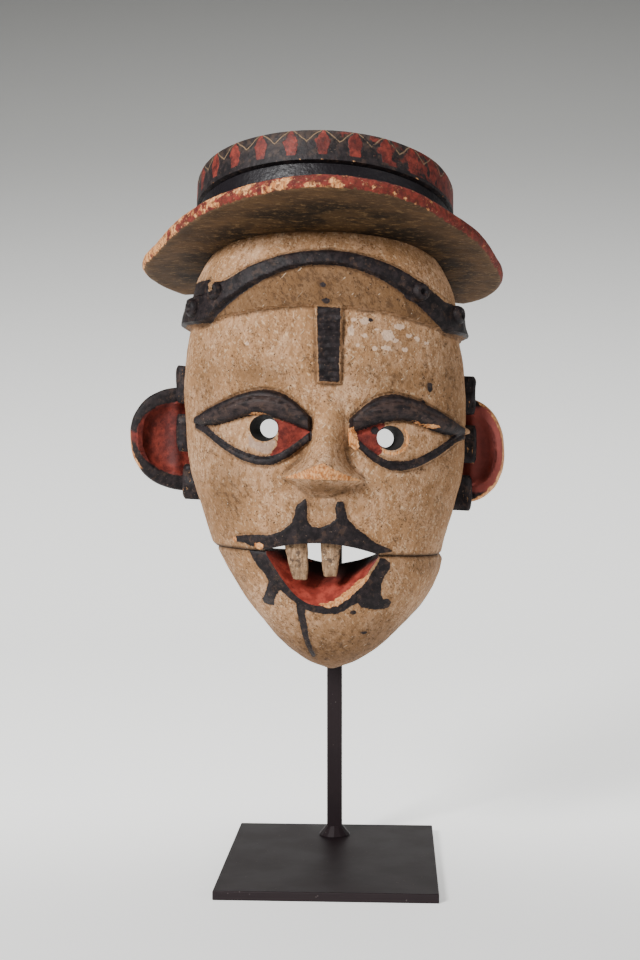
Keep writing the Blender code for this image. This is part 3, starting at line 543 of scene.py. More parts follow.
# Temple bars: three short blocks down each side, in front of the ears
TEMPLE_SUNK, TEMPLE_HALF_DEPTH, TEMPLE_SQUARENESS = 5, 6.0, 0.42
for outward, (bar_z, bar_half, bar_proud) in itertools.product(
        (-1, 1), ((243.8, 9.6, 5.4), (219.0, 9.6, 6.2), (194.0, 9.0, 7.0))):
    surface = float(along(MIDDLE, bar_z) + outward * along(FACE_HALF_WIDTH, bar_z))
    rings = []
    for up in np.linspace(-1, 1, 25):
        end = 1 - 0.22 * abs(up) ** 6
        angle = np.linspace(-math.pi, math.pi, 48, endpoint=False)
        x = np.sign(np.cos(angle)) * abs(np.cos(angle)) ** TEMPLE_SQUARENESS * end
        y = np.sign(np.sin(angle)) * abs(np.sin(angle)) ** TEMPLE_SQUARENESS * end
        x = surface + outward * ((bar_proud - TEMPLE_SUNK) / 2 + (bar_proud + TEMPLE_SUNK) / 2 * x)
        z = np.full_like(x, bar_z + bar_half * up)
        y = TEMPLE_HALF_DEPTH * y
        worn = 0.7 * lumps(x, y, z, 4.5, 25) + 0.3 * lumps(x, y, 0, 1.8, 27)
        rings.append(np.stack([x + worn * outward, y + worn, z + 0.3 * lumps(x, y, z, 5, 26)], axis=-1))
    join(carved, skin("bar", rings, BARS), "UNION")

# The hollow behind the face, gouged a wall's thickness inside it, and the drilled eye holes
WALL, ROOF = 10.5, 362.5 - 64.4 * math.sin(CROWN_TILT) - 18.0
inner = np.concatenate([[SPLIT - 12], np.linspace(SPLIT - 4, ROOF - 15.6, 40), [ROOF - 6, ROOF]])
inner_half, inner_front = along(FACE_HALF_WIDTH, inner) - WALL, along(FACE_FRONT, inner) + WALL
inner_half[-1] *= 0.8
inner_front[-1] *= 0.7


def gouges(x, y, z):
    """Marks of the gouge in a hollow."""
    return 0.5 * lumps(x, y, z, 11, 30) + 0.25 * lumps(x, y, z, 5, 31)


hollow = head_rings(inner, inner_half, inner_front, HOLLOW_COLUMNS, gouges, BACK_RIM + CUT_PAST)
join(carved, skin("hollow", hollow, INSIDE), "DIFFERENCE")
for (hole_x, hole_z), bore in zip(EYE_HOLES, EYE_BORES):
    axis = np.array((math.sin(bore), -math.cos(bore), 0))
    angle = np.linspace(-math.pi, math.pi, 40, endpoint=False)
    start = np.array((hole_x, float(along(FACE_FRONT, hole_z)), hole_z))
    round_hole = np.stack([1.08 * np.cos(angle) * math.cos(bore), 1.08 * np.cos(angle) * math.sin(bore),
                           0.97 * np.sin(angle)], axis=-1)
    rings = [start + depth * axis + radius * round_hole
             for depth, radius in ((-30, 4.7), (-9.5, 4.7), (-4.5, 5.9), (-2.0, 6.2), (-0.6, 6.7), (30, 8.2))]
    join(carved, skin("eye hole", rings, INSIDE), "DIFFERENCE")
MOUTH_X, MOUTH_HALF, MOUTH_ARCH = -2.5, 28.5, 5
arch = [(MOUTH_X + MOUTH_HALF * x, SPLIT + MOUTH_ARCH * (1 - x * x)) for x in np.linspace(-1, 1, 25)]
arch = [(arch[0][0], SPLIT - 6), *arch, (arch[-1][0], SPLIT - 6)]
join(carved, skin("mouth arch", [[(x, y, z) for x, z in arch] for y in (-80, 0)], FACE), "DIFFERENCE")
print("carved mask:", len(carved.data.polygons), "faces")


def mesh_array(data, name, width, kind=float):
    """What a mesh keeps for each of its points or edges, as rows."""
    values = np.empty(len(data) * width, kind)
    data.foreach_get(name, values)
    return values.reshape(-1, width)


def crest(mesh, rounds=7):
    """How far each point stands off its smoothed surroundings, in mm: above 0 on edges, below in grooves."""
    points, normals = mesh_array(mesh.vertices, "co", 3), mesh_array(mesh.vertices, "normal", 3)
    one, two = mesh_array(mesh.edges, "vertices", 2, int).T
    count = len(points)
    degree = np.bincount(np.concatenate([one, two]), minlength=count)[:, None]
    soft = points
    for _ in range(rounds):
        total = [np.bincount(one, soft[two, k], count) + np.bincount(two, soft[one, k], count)
                 for k in range(3)]
        soft = 0.3 * soft + 0.7 * np.stack(total, axis=-1) / degree
    return np.einsum("ij,ij->i", points - soft, normals) / STEP


def readings(piece, **fields):
    """Keeps readings on the mesh's points, for the finishes."""
    for name, values in fields.items():
        made = piece.data.attributes.new(name, "FLOAT", "POINT")
        made.data.foreach_set("value", np.asarray(values, np.float32))


def spots(x, z, *marks):
    """How far each point is inside any of some oval marks, in mm."""
    return np.max([min(wide, tall) * (1 - np.hypot((x - at_x) / wide, (z - at_z) / tall))
                   for at_x, at_z, wide, tall in marks], axis=0)


x, y, z = unplace(mesh_array(carved.data.vertices, "co", 3))
black = spots(x, z, (21.1, 275.2, 1.3, 1.0), (49.4, 245.1, 1.3, 2.4), (46.1, 237.3, 1.0, 1.4),
              (0.2, 283.2, 1.9, 1.3), (-1.5, 290.6, 1.7, 1.1), (23.1, 222.8, 1.9, 1.9))
bare, lids = np.full_like(x, -9.0), np.full_like(x, -9.0)
for (outer, inner), chip in zip(EYES, (0.56, 0.4)):
    s = eye_share(x, outer, inner)
    brow, lid, low = along(BROW_LINE, s), along(LID_LINE, s), along(LOWER_LID, s)
    ends = np.minimum((x - outer) * np.sign(inner - outer), (inner - x) * np.sign(inner - outer)) + 0.8
    lines = np.maximum(np.minimum(brow - z, z - lid) + 0.3, 2.2 - abs(z - low + 0.1))
    black = np.maximum(black, np.minimum(lines, ends))
    lids = np.maximum(lids, np.minimum(np.minimum(brow - z, z - lid), ends))
    chipped_lid = 0.5 - abs(z - lid - 0.2) - 12 * np.clip(abs(s - chip) - 0.05, 0, 1)
    bare = np.maximum(bare, np.where(ends > 2, chipped_lid, -9))
band_top, band_low = band_lines(x)
band = np.where((y < BAND_BACK) & (z < 312), np.minimum(band_top - z, z - band_low) + 0.4, -9)
knob_reach = np.min([np.hypot(x - knob_x, z - knob_z) for knob_x, knob_z in KNOBS], axis=0)
# The recess under the brim at the left is painted black: partly its black paint, partly painted shade.
brim_recess_black_and_shade = np.minimum(np.minimum(-57 - x, 5.5 - abs(z - 288.5)), 20 - y)
bar_in = np.minimum(5.7 - BAR_TAPER * (BAR_TOP - z) / BAR_LENGTH - abs(x - BAR_X),
                    np.minimum(280.2 - z, z - 245))
painted_lip = MOUSTACHE[:24] + ((25.6, 164.3), (20, 160), (-26, 160), (-27.4, 163.2), (-30.5, 163.8),
                                (-36.1, 164.8), (-40.2, 166.1), (-44.3, 166.6))
in_front = y < -8
black = np.max([np.where(in_front, black, -9), band, np.where(in_front, 5.0 - knob_reach, -9), brim_recess_black_and_shade,
                np.where(in_front, bar_in, -9), np.where(in_front, inside(x, z, painted_lip), -9)], axis=0)
red = np.maximum(
    inside(x, z, ((-25.1, 226.3), (-18, 225.6), (-13.2, 224.1), (-7, 222.2), (-8.6, 217), (-18, 210.2),
                  (-23.7, 207.9), (-27.1, 209.2), (-23.7, 213.6), (-22.9, 220.2))),
    inside(x, z, ((11.5, 222), (19.7, 225.2), (24.4, 226.6), (28.3, 226), (25.8, 222.1), (25.5, 217.4),
                  (27, 213.7), (25.3, 211.3), (20.6, 212), (14.3, 215.2))))
# Grey patches in the eyes; the one at the right eye's inner corner is a painted highlight on the lid's
# underside.
grey = np.maximum(
    inside(x, z, ((-37.6, 219.8), (-34.3, 215.6), (-29.5, 214.5), (-24.5, 217.3), (-24.1, 215),
                  (-27.6, 209.7), (-31.9, 210.4), (-37.3, 213.1))),
    inside(x, z, ((13.6, 223), (15.9, 226.6), (19.7, 228.4), (23.9, 228.2), (19.7, 225.6), (15.5, 223.1))))
_, break_face = nose_relief(x, z)
ring = np.hypot(x - EYE_HOLES[1][0], z - EYE_HOLES[1][1])
ring_side = np.clip(np.minimum(x - 27, 224 - z) / 4, -1, 0)
corner_chip = ((10.4, 223.4), (13.2, 224.3), (14.6, 219.8), (15.6, 214.6), (13.8, 213), (10.8, 215))
bare = np.max([bare, 3 * (break_face * in_front - 0.5), 0.7 - abs(ring - 7.4) + 2 * ring_side,
               spots(x, z, (-32.5, 165.3, 2.3, 1.5), (-45.4, 167.6, 1.0, 1.4), (50.5, 226.3, 3.5, 0.9)),
               inside(x, z, corner_chip)], axis=0)
pale = spots(x, z, (11.8, 269.6, 1.3, 2.6), (18.3, 274.6, 2.4, 1.7), (18.0, 267.8, 1.5, 1.1),
             (29.0, 268.5, 3.2, 2.7), (35.0, 273.0, 2.5, 1.4), (43.2, 267.8, 1.3, 1.3),
             (29.0, 262.4, 2.4, 1.0), (48, 266.3, 1.0, 0.9), (37.5, 262.2, 1.2, 0.9),
             (-38, 262, 1.0, 0.7), (23, 262, 1.1, 0.8), (15, 263, 0.9, 1.0), (24, 271, 1.2, 0.8),
             (33, 266, 1.4, 0.9), (39, 269, 1.2, 0.9), (13, 275, 1.0, 0.8))
cap_line = z - CAP_LINE + CAP_LINE_FALL * np.minimum(abs(x), CAP_LINE_REACH) ** 2
# Darker zones for the cream: grime and stains over the brows, the right forehead, the cheeks, the temples and
# round the mouth; painted shade under the nose and in the eye sockets' inner corners beside it; grime and
# painted shade on the cap under the headband.
shade = rise(cap_line, 2) * rise(band_low - z, 2)
for at_x, at_z, wide, tall, dark in (
        (-34, 248, 15, 6, 0.75), (36, 247, 22, 7, 0.6), (34, 262, 26, 14, 0.4), (-50, 188, 13, 24, 0.75),
        (44, 192, 18, 24, 0.35), (11, 214, 4.5, 9, 0.6), (-11, 212, 3, 8, 0.35), (0, 186, 16, 4, 0.5),
        (0, 194, 15, 3, 1.0), (-60, 240, 8, 30, 0.5), (60, 235, 8, 30, 0.5)):
    shade = shade + dark * np.exp(-((x - at_x) / wide) ** 2 - ((z - at_z) / tall) ** 2)
# How near each point lies to the edge of the black paint: the cream is darkened along it.
line_dirt = np.clip(1 - abs(black) / 1.6, 0, 1)
seam = np.exp(-((z - SPLIT) / 1.1) ** 2)
bore = np.min([np.hypot(x - hole_x + (y + 54) * math.tan(turned_by), z - hole_z)
               for (hole_x, hole_z), turned_by in zip(EYE_HOLES, EYE_BORES)], axis=0)
across, back, up = (np.stack([x, y, z]) - BRIM_SPOT[:, None])
disc_y = back * math.cos(BRIM_TILT) - up * math.sin(BRIM_TILT)
rim = brim_reach(np.arctan2(across, -disc_y)) - np.hypot(across, disc_y)
under = up * math.cos(BRIM_TILT) + back * math.sin(BRIM_TILT)
across, back, up = (np.stack([x, y, z]) - CROWN_SPOT[:, None])
hat_y = back * math.cos(CROWN_TILT) - up * math.sin(CROWN_TILT)
ear_reach, scoop_reach = (
    np.min([np.hypot((x - middle) / half_width / wide, (z - EAR_Z) / EAR_HALF_HEIGHT / tall)
            for middle, half_width in EARS], axis=0)
    for wide, tall in ((0.98, 1.0), (0.86, 0.72)))
readings(carved, black=black, red=red, grey=grey, bare=bare, pale=pale, shade=np.clip(shade, 0, 1.2),
         dirt=line_dirt, crest=crest(carved.data), bore=bore, rim=rim, under=under,
         around=64.4 * np.arctan2(across, -hat_y), out=np.hypot(across, hat_y),
         up=up * math.cos(CROWN_TILT) + back * math.sin(CROWN_TILT), ear=ear_reach, scoop=scoop_reach,
         ear_up=z - EAR_Z, right=(x > 0).astype(float), lids=lids, seam=seam)


def chipped(finish, name, ragged=1.0, seed=0.0):
    """A painted patch's share, its edge broken by brush and chips."""
    edge = finish.field(name) + (finish.clouds(1.4, 3, seed=seed) - 0.5) * (2.4 * ragged)
    return (edge + (finish.clouds(5, 2, seed=seed + 5) - 0.5) * (2.0 * ragged)).past(0.0, 0.3)


def cream_coat(finish, shade):
    """Old cream ground, rubbed and grimy, and darkened with grime and painted shade where that reading is
    high: its colour, and its relief in mm.
    """
    coat = finish.over(finish.clouds(26, 4).past(0.5, 0.2), tint(192, 146, 104), tint(234, 190, 152))
    coat = finish.patched(coat, (146, 108, 68), 0.55, 0.14, 0.6, 11, 5, stretch=(1, 1, 1.5), seed=2,
                          rough=0.6, turn=0.5)
    strokes = finish.clouds(2.4, 5, stretch=(1, 1, 2.6), seed=12, rough=0.65, turn=0.3)
    coat = finish.over(strokes.past(0.47, 0.2) * 0.45, tint(150, 110, 74), coat)
    patches = finish.clouds(9, 3, seed=16).past(0.48, 0.2)
    coat = finish.patched(coat, (92, 62, 40), 0.55, 0.12, patches * 0.85, 0.9, 5, seed=4, rough=0.75)
    coat = finish.patched(coat, (240, 206, 168), 0.58, 0.14, 0.45, 1.6, 5, stretch=(1, 1, 1.6), seed=6,
                          rough=0.7, turn=-0.5)
    # Grime and painted shade: the cream turns brown where the grime and shade reading is high.
    coat = finish.over(shade * 0.85, coat, tint(106, 76, 48))
    grime = finish.clouds(2.2, 5, stretch=(1, 1, 1.8), seed=14, rough=0.7, turn=-0.8)
    grime = (grime + finish.clouds(14, 2, seed=15) * 0.3 + shade * 0.10).past(0.80, 0.14)
    coat = finish.over(grime * 0.75, coat, tint(78, 55, 36))
    scratches = finish.clouds(0.7, 3, stretch=(1, 1, 14), seed=7, turn=0.75).past(0.68, 0.06)
    coat = finish.over(scratches * 0.7, coat, tint(222, 200, 172))
    nicks = finish.clouds(0.6, 3, stretch=(1, 1, 5), seed=17, turn=-0.35).past(0.67, 0.06)
    coat = finish.over(nicks * 0.9, coat, tint(58, 40, 28))
    pits = (1 - finish.cells(2.0).past(0.15, 0.1)) * finish.clouds(4.5, 2, seed=8).past(0.53, 0.1)
    coat = finish.over(pits * 0.9, coat, tint(44, 30, 22))
    height = (0.45 * finish.clouds(3.4, 4, seed=9) + 0.42 * finish.clouds(0.9, 4, seed=10) + 0.5 * strokes
              - 0.14 * grime - 0.3 * pits - 0.14 * nicks - 0.08 * scratches)
    return coat, height


def black_coat(finish):
    """Black paint, rubbed brown in places and scuffed: its colour, and its relief in mm."""
    coat = finish.over(finish.clouds(3, 4, seed=20).past(0.52, 0.25), tint(20, 15, 17), tint(40, 32, 33))
    coat = finish.patched(coat, (82, 62, 50), 0.58, 0.12, 0.4, 4, 5, seed=23, rough=0.65)
    scuff = finish.clouds(0.9, 4, stretch=(1, 1, 1.8), seed=21, rough=0.7, turn=0.8).past(0.665, 0.05)
    return finish.over(scuff * 0.75, coat, tint(134, 112, 96)), 0.16 * finish.clouds(1.6, 3, seed=22)


def red_coat(finish):
    """Red earth paint, darkened in patches."""
    coat = finish.over(finish.clouds(4, 4, seed=30).past(0.5, 0.3), tint(88, 32, 27), tint(136, 55, 44))
    coat = finish.patched(coat, (64, 26, 24), 0.56, 0.2, 0.5, 8, 3, seed=32)
    return finish.patched(coat, (52, 22, 20), 0.60, 0.1, 0.6, 1.4, 4, seed=31, rough=0.7)


def bare_wood(finish):
    """Light wood where the paint is gone."""
    grain = finish.clouds(1.0, 4, stretch=(1, 1, 7), seed=40).past(0.5, 0.35)
    wood = finish.over(grain, tint(186, 114, 60), tint(234, 176, 120))
    return finish.patched(wood, (116, 62, 32), 0.56, 0.15, 0.6, 2.0, 4, seed=41, rough=0.65)


def worn_edge(finish, line, patch=6.0, often=0.5, seed=50.0):
    """Where edges have worn through to the wood."""
    edge = finish.field("crest") + (finish.clouds(1.6, 3, seed=seed) - 0.5) * 0.6
    return edge.past(line, 0.12) * finish.clouds(patch, 3, seed=seed + 1).past(often, 0.06)


face = Finish("painted_face", specular=0.2)
shade = face.field("shade")
color, height = cream_coat(face, shade + face.field("dirt") * 0.3)
creases = (0 - face.field("crest")).past(0.25, 0.4) * face.clouds(7, 3, seed=60).past(0.42, 0.4)
color = face.over(creases * 0.6, color, tint(64, 44, 30))
# Dark grime and painted shadow: a near-black band along the split, for the gap between face and jaw.
color = face.over(face.field("seam") * 0.9, color, tint(30, 20, 15))
color = face.over(chipped(face, "pale", 1.1, 3) * 0.5, color, tint(230, 200, 176))
# Grey patches, the right eye's one a painted highlight.
color = face.over(chipped(face, "grey", 1.0, 7) * 0.4, color, tint(168, 152, 144))
color = face.over(chipped(face, "red", 0.7, 9), color, red_coat(face))
ink, brushed = black_coat(face)
rubbed = face.field("lids").past(2.2, 2.4) * face.clouds(1.6, 4, stretch=(5, 1, 1), seed=61).past(0.48, 0.25)
ink = face.over(rubbed * 0.32, ink, tint(92, 72, 64))
blacked = chipped(face, "black", 0.55, 11)
color = face.over(blacked, color, ink)
split = chipped(face, "bare", 0.7, 13).most(worn_edge(face, 1.1, 5.0, 0.64) * 0.85)
color = face.over(split, color, bare_wood(face))
painted_face = face.wear(color, 0.74 - 0.22 * blacked + 0.08 * face.clouds(4, 3),
                         height * (1 - 0.6 * blacked) + 0.2 * blacked + brushed * blacked - 0.2 * split)

edge = Finish("painted_brim", specular=0.25)
side, rim = edge.field("under"), edge.field("rim")
color = edge.over(edge.clouds(14, 5, stretch=(1.6, 1, 1)).past(0.5, 0.14), tint(36, 25, 13), tint(72, 52, 30))
color = edge.patched(color, (26, 18, 10), 0.56, 0.12, 0.8, 4, 5, stretch=(2.6, 1, 1), seed=2, rough=0.65)
color = edge.patched(color, (128, 100, 66), 0.58, 0.12, 0.6, 1.6, 5, stretch=(2.5, 1, 1), seed=3, rough=0.7)
color = edge.over((0 - rim).past(-16, 14) * edge.clouds(9, 3, seed=11) * 0.6, color, tint(116, 86, 58))
ink, brushed = black_coat(edge)
upper = edge.over(edge.clouds(9, 3, seed=5).past(0.5, 0.15), red_coat(edge), ink)
color = edge.over(side.past(2.0, 0.6), color, upper)
at_edge = 1 - (rim + (edge.clouds(2.4, 4, seed=6) - 0.5) * 3.0).past(1.2, 0.4)
redder = edge.clouds(7, 5, seed=7, rough=0.6) + edge.field("around") * 0.0012
edge_color = edge.over(redder.past(0.455, 0.06), bare_wood(edge), red_coat(edge))
edge_color = edge.patched(edge_color, (206, 160, 116), 0.62, 0.05, 0.5, 1.6, 5, seed=12, rough=0.7)
edge_color = edge.patched(edge_color, (84, 40, 26), 0.55, 0.08, 0.8, 2.4, 5, seed=13, rough=0.7)
at_edge = at_edge * (side + (edge.clouds(2.5, 3, seed=8) - 0.5) * 2).past(-3.2, 0.4)
color = edge.over(at_edge, color, edge_color)
tool = edge.clouds(4, 3, stretch=(1.8, 1, 1), seed=9)
painted_brim = edge.wear(color, 0.66 + 0.2 * tool, 0.5 * tool + 0.25 * edge.clouds(1, 3, seed=10))

hat = Finish("painted_crown", specular=0.3)
up, around = hat.field("up"), hat.field("around")
wobble = (hat.clouds(6, 2, seed=1) - 0.5) * 2.6
apart = (around - 1.9 + wobble).fold(7.6)
drop = 40.2 - up + (hat.clouds(4, 2, seed=2) - 0.5) * 1.2
zigzag = (1 - (drop - apart * 0.92).size().past(0.42, 0.3)) * (1 - drop.past(8.0, 0.4))
zigzag = zigzag * hat.clouds(3, 3, seed=3).past(0.42, 0.2)
half_width = (drop * 0.55).least(5.2 - drop * 0.24)
lozenge = (half_width - apart + (hat.clouds(2.2, 4, seed=4) - 0.5) * 2.4).past(0.0, 0.35)
lozenge = lozenge * (1 - drop.past(13.6, 0.5))
smear = (around * 0.003 + hat.clouds(6, 4, seed=5)).past(0.66, 0.08) * (1 - drop.past(14.5, 0.5))
ink, brushed = black_coat(hat)
color = hat.over((1 - drop.past(8, 5)) * hat.clouds(3, 3, seed=6).past(0.5, 0.2) * 0.6, ink, tint(72, 56, 46))
stained = hat.patched(red_coat(hat), (48, 24, 22), 0.55, 0.12, 0.6, 2.6, 5, seed=13, rough=0.7)
color = hat.over(lozenge.most(smear * 0.8), color, stained)
color = hat.over(zigzag * 0.75, color, tint(140, 114, 86))
ribbon = 1 - up.past(23.4, 0.4)
color = hat.over(ribbon, color, tint(22, 18, 22))
top_face = (0 - hat.field("out")).past(-58, 4) * up.past(39, 1)
color = hat.over(top_face * hat.clouds(8, 3, seed=8).past(0.5, 0.1), color, red_coat(hat))
color = hat.patched(color, (168, 136, 108), 0.69, 0.04, 0.7, 1.0, 4, seed=12, rough=0.7)
color = hat.over(worn_edge(hat, 0.7, 5, 0.64) * 0.9, color, bare_wood(hat))
relief = 0.35 * hat.clouds(3, 3, seed=10) * (1 - ribbon) + 0.2 * hat.clouds(1.5, 2) - 0.35 * zigzag
relief = relief + 0.12 * lozenge + 0.35 * ribbon * hat.clouds(4, 3, seed=11)
painted_crown = hat.wear(color, 0.5 - 0.18 * ribbon + 0.2 * hat.clouds(2, 3, seed=9), relief)

scoop = Finish("painted_ear", specular=0.25)
reach, lift, right = scoop.field("ear"), scoop.field("ear_up"), scoop.field("right")
ink, brushed = black_coat(scoop)
color = scoop.patched(red_coat(scoop), (70, 34, 32), 0.5, 0.3, 0.4, 6, 3, seed=5)
# Painted light: the right ear's red is lightened, as the key light leaves it in shade.
color = scoop.over(right * 0.45, color, tint(176, 92, 84))
tall = lift.size() + (scoop.clouds(5, 3) - 0.5) * 6
on_rim = (scoop.field("scoop") + (scoop.clouds(3, 3, seed=2) - 0.5) * 0.12).past(1.0, 0.03)
color = scoop.over(on_rim * tall.past(3, 2) * (1 - right), color, ink)
color = scoop.over(on_rim * tall.past(21.5, 2) * right, color, ink)
worn = (reach + (scoop.clouds(2.4, 3, seed=3) - 0.5) * 0.08).past(0.965, 0.015)
worn = worn * (1 - (tall - right * 12).past(16, 2)) * scoop.clouds(5, 4, seed=4).past(0.42, 0.08)
worn = worn * (right * 30 - lift + (scoop.clouds(6, 3, seed=6) - 0.5) * 10).past(-2, 3)
color = scoop.over(worn, color, bare_wood(scoop))
painted_ear = scoop.wear(color, 0.6 + 0.1 * scoop.clouds(3, 2),
                         0.35 * scoop.clouds(2.6, 4) + 0.15 * scoop.clouds(0.9, 3))

temple = Finish("painted_bars", specular=0.2)
ink, brushed = black_coat(temple)
streaks = temple.clouds(1.3, 4, stretch=(1, 1, 4), seed=5, rough=0.65).past(0.64, 0.05)
worn = worn_edge(temple, 0.5, 3, 0.5).most(streaks)
under_paint = temple.over(temple.clouds(3, 2, seed=3).past(0.5, 0.1), tint(134, 104, 72), bare_wood(temple))
color = temple.over(worn * 0.9, ink, under_paint)
painted_bars = temple.wear(color, 0.5 + 0.1 * temple.clouds(3, 2),
                           0.5 * temple.clouds(2.0, 4, stretch=(1, 1, 2.5)) + brushed - 0.15 * worn)

raw = Finish("raw_hollow")
grain = raw.clouds(1.6, 4, stretch=(1, 1, 9), seed=2)
color = raw.over(grain.past(0.5, 0.3), tint(58, 40, 27), tint(90, 64, 43))
color = raw.patched(color, (42, 30, 21), 0.5, 0.3, 0.6, 16, 3, seed=3)
# The eye holes' walls are near black: partly black paint, partly painted shade on walls seen in shadow.
color = raw.over(1 - raw.field("bore").past(9.2, 0.6), color, tint(22, 17, 15))
raw_hollow = raw.wear(color, 0.78 + 0.1 * grain, 0.35 * grain + 0.5 * raw.clouds(5, 3, seed=4))


def dress(piece, *coats):
    """Puts a piece's finishes in its slots and smooths its skin, edges apart."""
    for slot, coat in enumerate(coats):
        piece.data.materials[slot] = coat
    bpy.ops.object.select_all(action="DESELECT")
    piece.select_set(True)
    bpy.context.view_layer.objects.active = piece
    bpy.ops.object.shade_smooth_by_angle(angle=SHARPEST)


dress(carved, painted_face, painted_brim, painted_crown, painted_ear, painted_bars, raw_hollow)
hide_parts("mask")
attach(carved, "mask_on_stand")

# Lower jaw
# Carved apart from its own block and hung on the mask's back corners. Its mouth is cut as a sloping red
# lip, outlined in black, with tails and a stripe to the chin. Its hollow is gouged like the mask's.
JAW_FACE, LIP, JAW_INSIDE = range(3)
JAW_HALF_WIDTH = ((103, 3), (106.2, 11.3), (110.7, 18.7), (117.8, 27.3), (125.4, 34.4), (134.6, 42.3),
                  (144, 48.5), (153, 53), (163, 56.8))
JAW_FRONT = ((103, -14), (106, -23), (110, -31), (120, -41), (130, -46.5), (140, -49.5), (150, -50.5),
             (163, -50.5))
JAW_TOP, JAW_RIM_AT_CHIN = SPLIT - 0.3, 5.0
JAW_ROWS, JAW_COLUMNS, JAW_HOLLOW_COLUMNS, JAW_HOLLOW_FRONT = 120, 220, 80, -22.0
MOUTH_EDGE, MOUTH_THROAT = (-50.0, -3.2, 28.5, 136.8), (-27.0, 1.5, 23.0, 156.5)


def jaw_tooling(x, y, z):
    """Chisel marks, the worn top edge, and the back edge that flares out a little."""
    seam = 0.9 * np.exp(-((JAW_TOP - z) / 0.9) ** 2)
    flare = 2.8 * np.clip((y + 6) / 18, 0, 1) ** 1.5 * rise(161 - z, 4)
    marks = 0.42 * lumps(x, y, z, 15, 40) + 0.2 * lumps(x, y, z, 6, 41) + 0.08 * lumps(x, y, z, 2.4, 42)
    return marks + flare - seam


bowl = 1 - np.cos(np.linspace(0, math.pi / 2, JAW_ROWS))
levels = CHIN + (JAW_TOP - CHIN) * bowl
rims = np.interp(levels, (CHIN, SPLIT), (JAW_RIM_AT_CHIN, BACK_RIM))
halves, fronts = along(JAW_HALF_WIDTH, levels), along(JAW_FRONT, levels)
rings = [head_rings([z], [half], [front], JAW_COLUMNS, jaw_tooling, back_rim)[0]
         for z, half, front, back_rim in zip(levels, halves, fronts, rims)]
jaw = skin("carved_jaw", rings, JAW_FACE)
inner = np.concatenate([[116.0], np.linspace(119, SPLIT + 8, 30)])
inner_half, inner_front = along(JAW_HALF_WIDTH, inner) - WALL, np.full_like(inner, JAW_HOLLOW_FRONT)
inner_half[0] *= 0.7
inner_front[0] *= 0.8
hollow = head_rings(inner, inner_half, inner_front, JAW_HOLLOW_COLUMNS, gouges, BACK_RIM + CUT_PAST)
join(jaw, skin("hollow", hollow, JAW_INSIDE), "DIFFERENCE")
rings = []
for depth in (-62.0, *np.linspace(MOUTH_EDGE[0], MOUTH_THROAT[0], 24), -12.0):
    share = float(np.clip((depth - MOUTH_EDGE[0]) / (MOUTH_THROAT[0] - MOUTH_EDGE[0]), 0, 1))
    middle, half, bottom = (a + (b - a) * share for a, b in zip(MOUTH_EDGE[1:], MOUTH_THROAT[1:]))
    across = np.linspace(-1, 1, 61)
    worn = 0.6 * lumps(half * across, depth, 0, 7, 43) + 0.25 * lumps(half * across, depth, 0, 2.5, 44)
    curve = [(middle + half * u, depth, bottom + (SPLIT - bottom) * u * u + w) for u, w in zip(across, worn)]
    rings.append([(curve[0][0], depth, SPLIT + 8), *curve, (curve[-1][0], depth, SPLIT + 8)])
join(jaw, skin("mouth", rings, LIP), "DIFFERENCE")

x, y, z = unplace(mesh_array(jaw.data.vertices, "co", 3))
black = inside(x, z, (
    (-38.7, 163.5), (-28.5, 163), (-24.6, 156.5), (-19.5, 149.8), (-15, 145.3), (-9.5, 141.6), (-4.7, 139.5),
    (0.4, 138.6), (5.8, 139.6), (10.3, 142.9), (14.9, 146.8), (19.1, 151.2), (23.3, 157.4), (25.6, 161.9),
    (27.9, 161.7), (30.5, 159.6), (30.5, 156.9), (27.9, 153.4), (26.2, 149.5), (25.9, 144), (27.1, 142),
    (29.4, 142.2), (30.8, 140.3), (30.1, 138.2), (27.1, 136.9), (23.2, 136.7), (18.7, 137.3), (16.4, 137.7),
    (14.9, 139.7), (11.8, 138.4), (8, 135.5), (4.9, 134.1), (0.4, 133.7), (-4.2, 134), (-8.1, 134.9),
    (-10.7, 135.7), (-10.6, 132.7), (-9.9, 128.7), (-8.9, 120.5), (-7.6, 115.2), (-6.3, 112.1), (-6.6, 110.5),
    (-8, 110.3), (-9.7, 114.1), (-11.7, 119.4), (-13, 126), (-14.2, 131.7), (-15, 138.4), (-18.4, 140.9),
    (-22.7, 144.5), (-25.1, 141.2), (-25.9, 136.5), (-28.5, 136.4), (-31, 136.7), (-32.1, 138.9),
    (-31.2, 140.6), (-29.5, 143.9), (-28.6, 147.9), (-29.8, 150.9), (-34.6, 156)))
rim_here = np.interp(z, (CHIN, SPLIT), (JAW_RIM_AT_CHIN, BACK_RIM))
black = np.maximum(np.where(y < -8, black, -9), spots(x, z, (12.4, 135.1, 1.5, 1.1), (17.6, 124.9, 1.4, 0.9)))
lip_chip = ((-3.7, 138.6), (0.4, 139.2), (3.5, 140.4), (7.3, 143.4), (11.9, 147.4), (16.4, 151.4),
            (20.4, 154.4), (20, 151.2), (15.4, 146.7), (10.8, 142.2), (5.9, 138.4), (0.4, 137.0))
bare = np.maximum(inside(x, z, lip_chip), spots(x, z, (-54, 160.6, 1.5, 1.0), (54.5, 161.3, 2.4, 1.0)))
# Darker zones on the jaw: grime at the sides and corners, and painted shade on the chin, which faces down.
shade = 0.35 * np.exp(-((x - 20) / 14) ** 2 - ((z - 148) / 8) ** 2)
for at_x, at_z, wide, tall, dark in ((-46, 146, 10, 12, 0.4), (0, 114, 40, 16, 0.9), (30, 126, 16, 10, 0.4),
                                     (48, 158, 14, 5, 0.5), (-50, 160, 9, 3, 0.5)):
    shade = shade + dark * np.exp(-((x - at_x) / wide) ** 2 - ((z - at_z) / tall) ** 2)
readings(jaw, black=black, bare=np.where(y < -30, bare, -9), shade=np.clip(shade, 0, 1.2),
         dirt=np.clip(1 - abs(black) / 1.6, 0, 1), crest=crest(jaw.data), deep=y, rim=rim_here - y,
         seam=np.exp(-((JAW_TOP - z) / 0.9) ** 2))

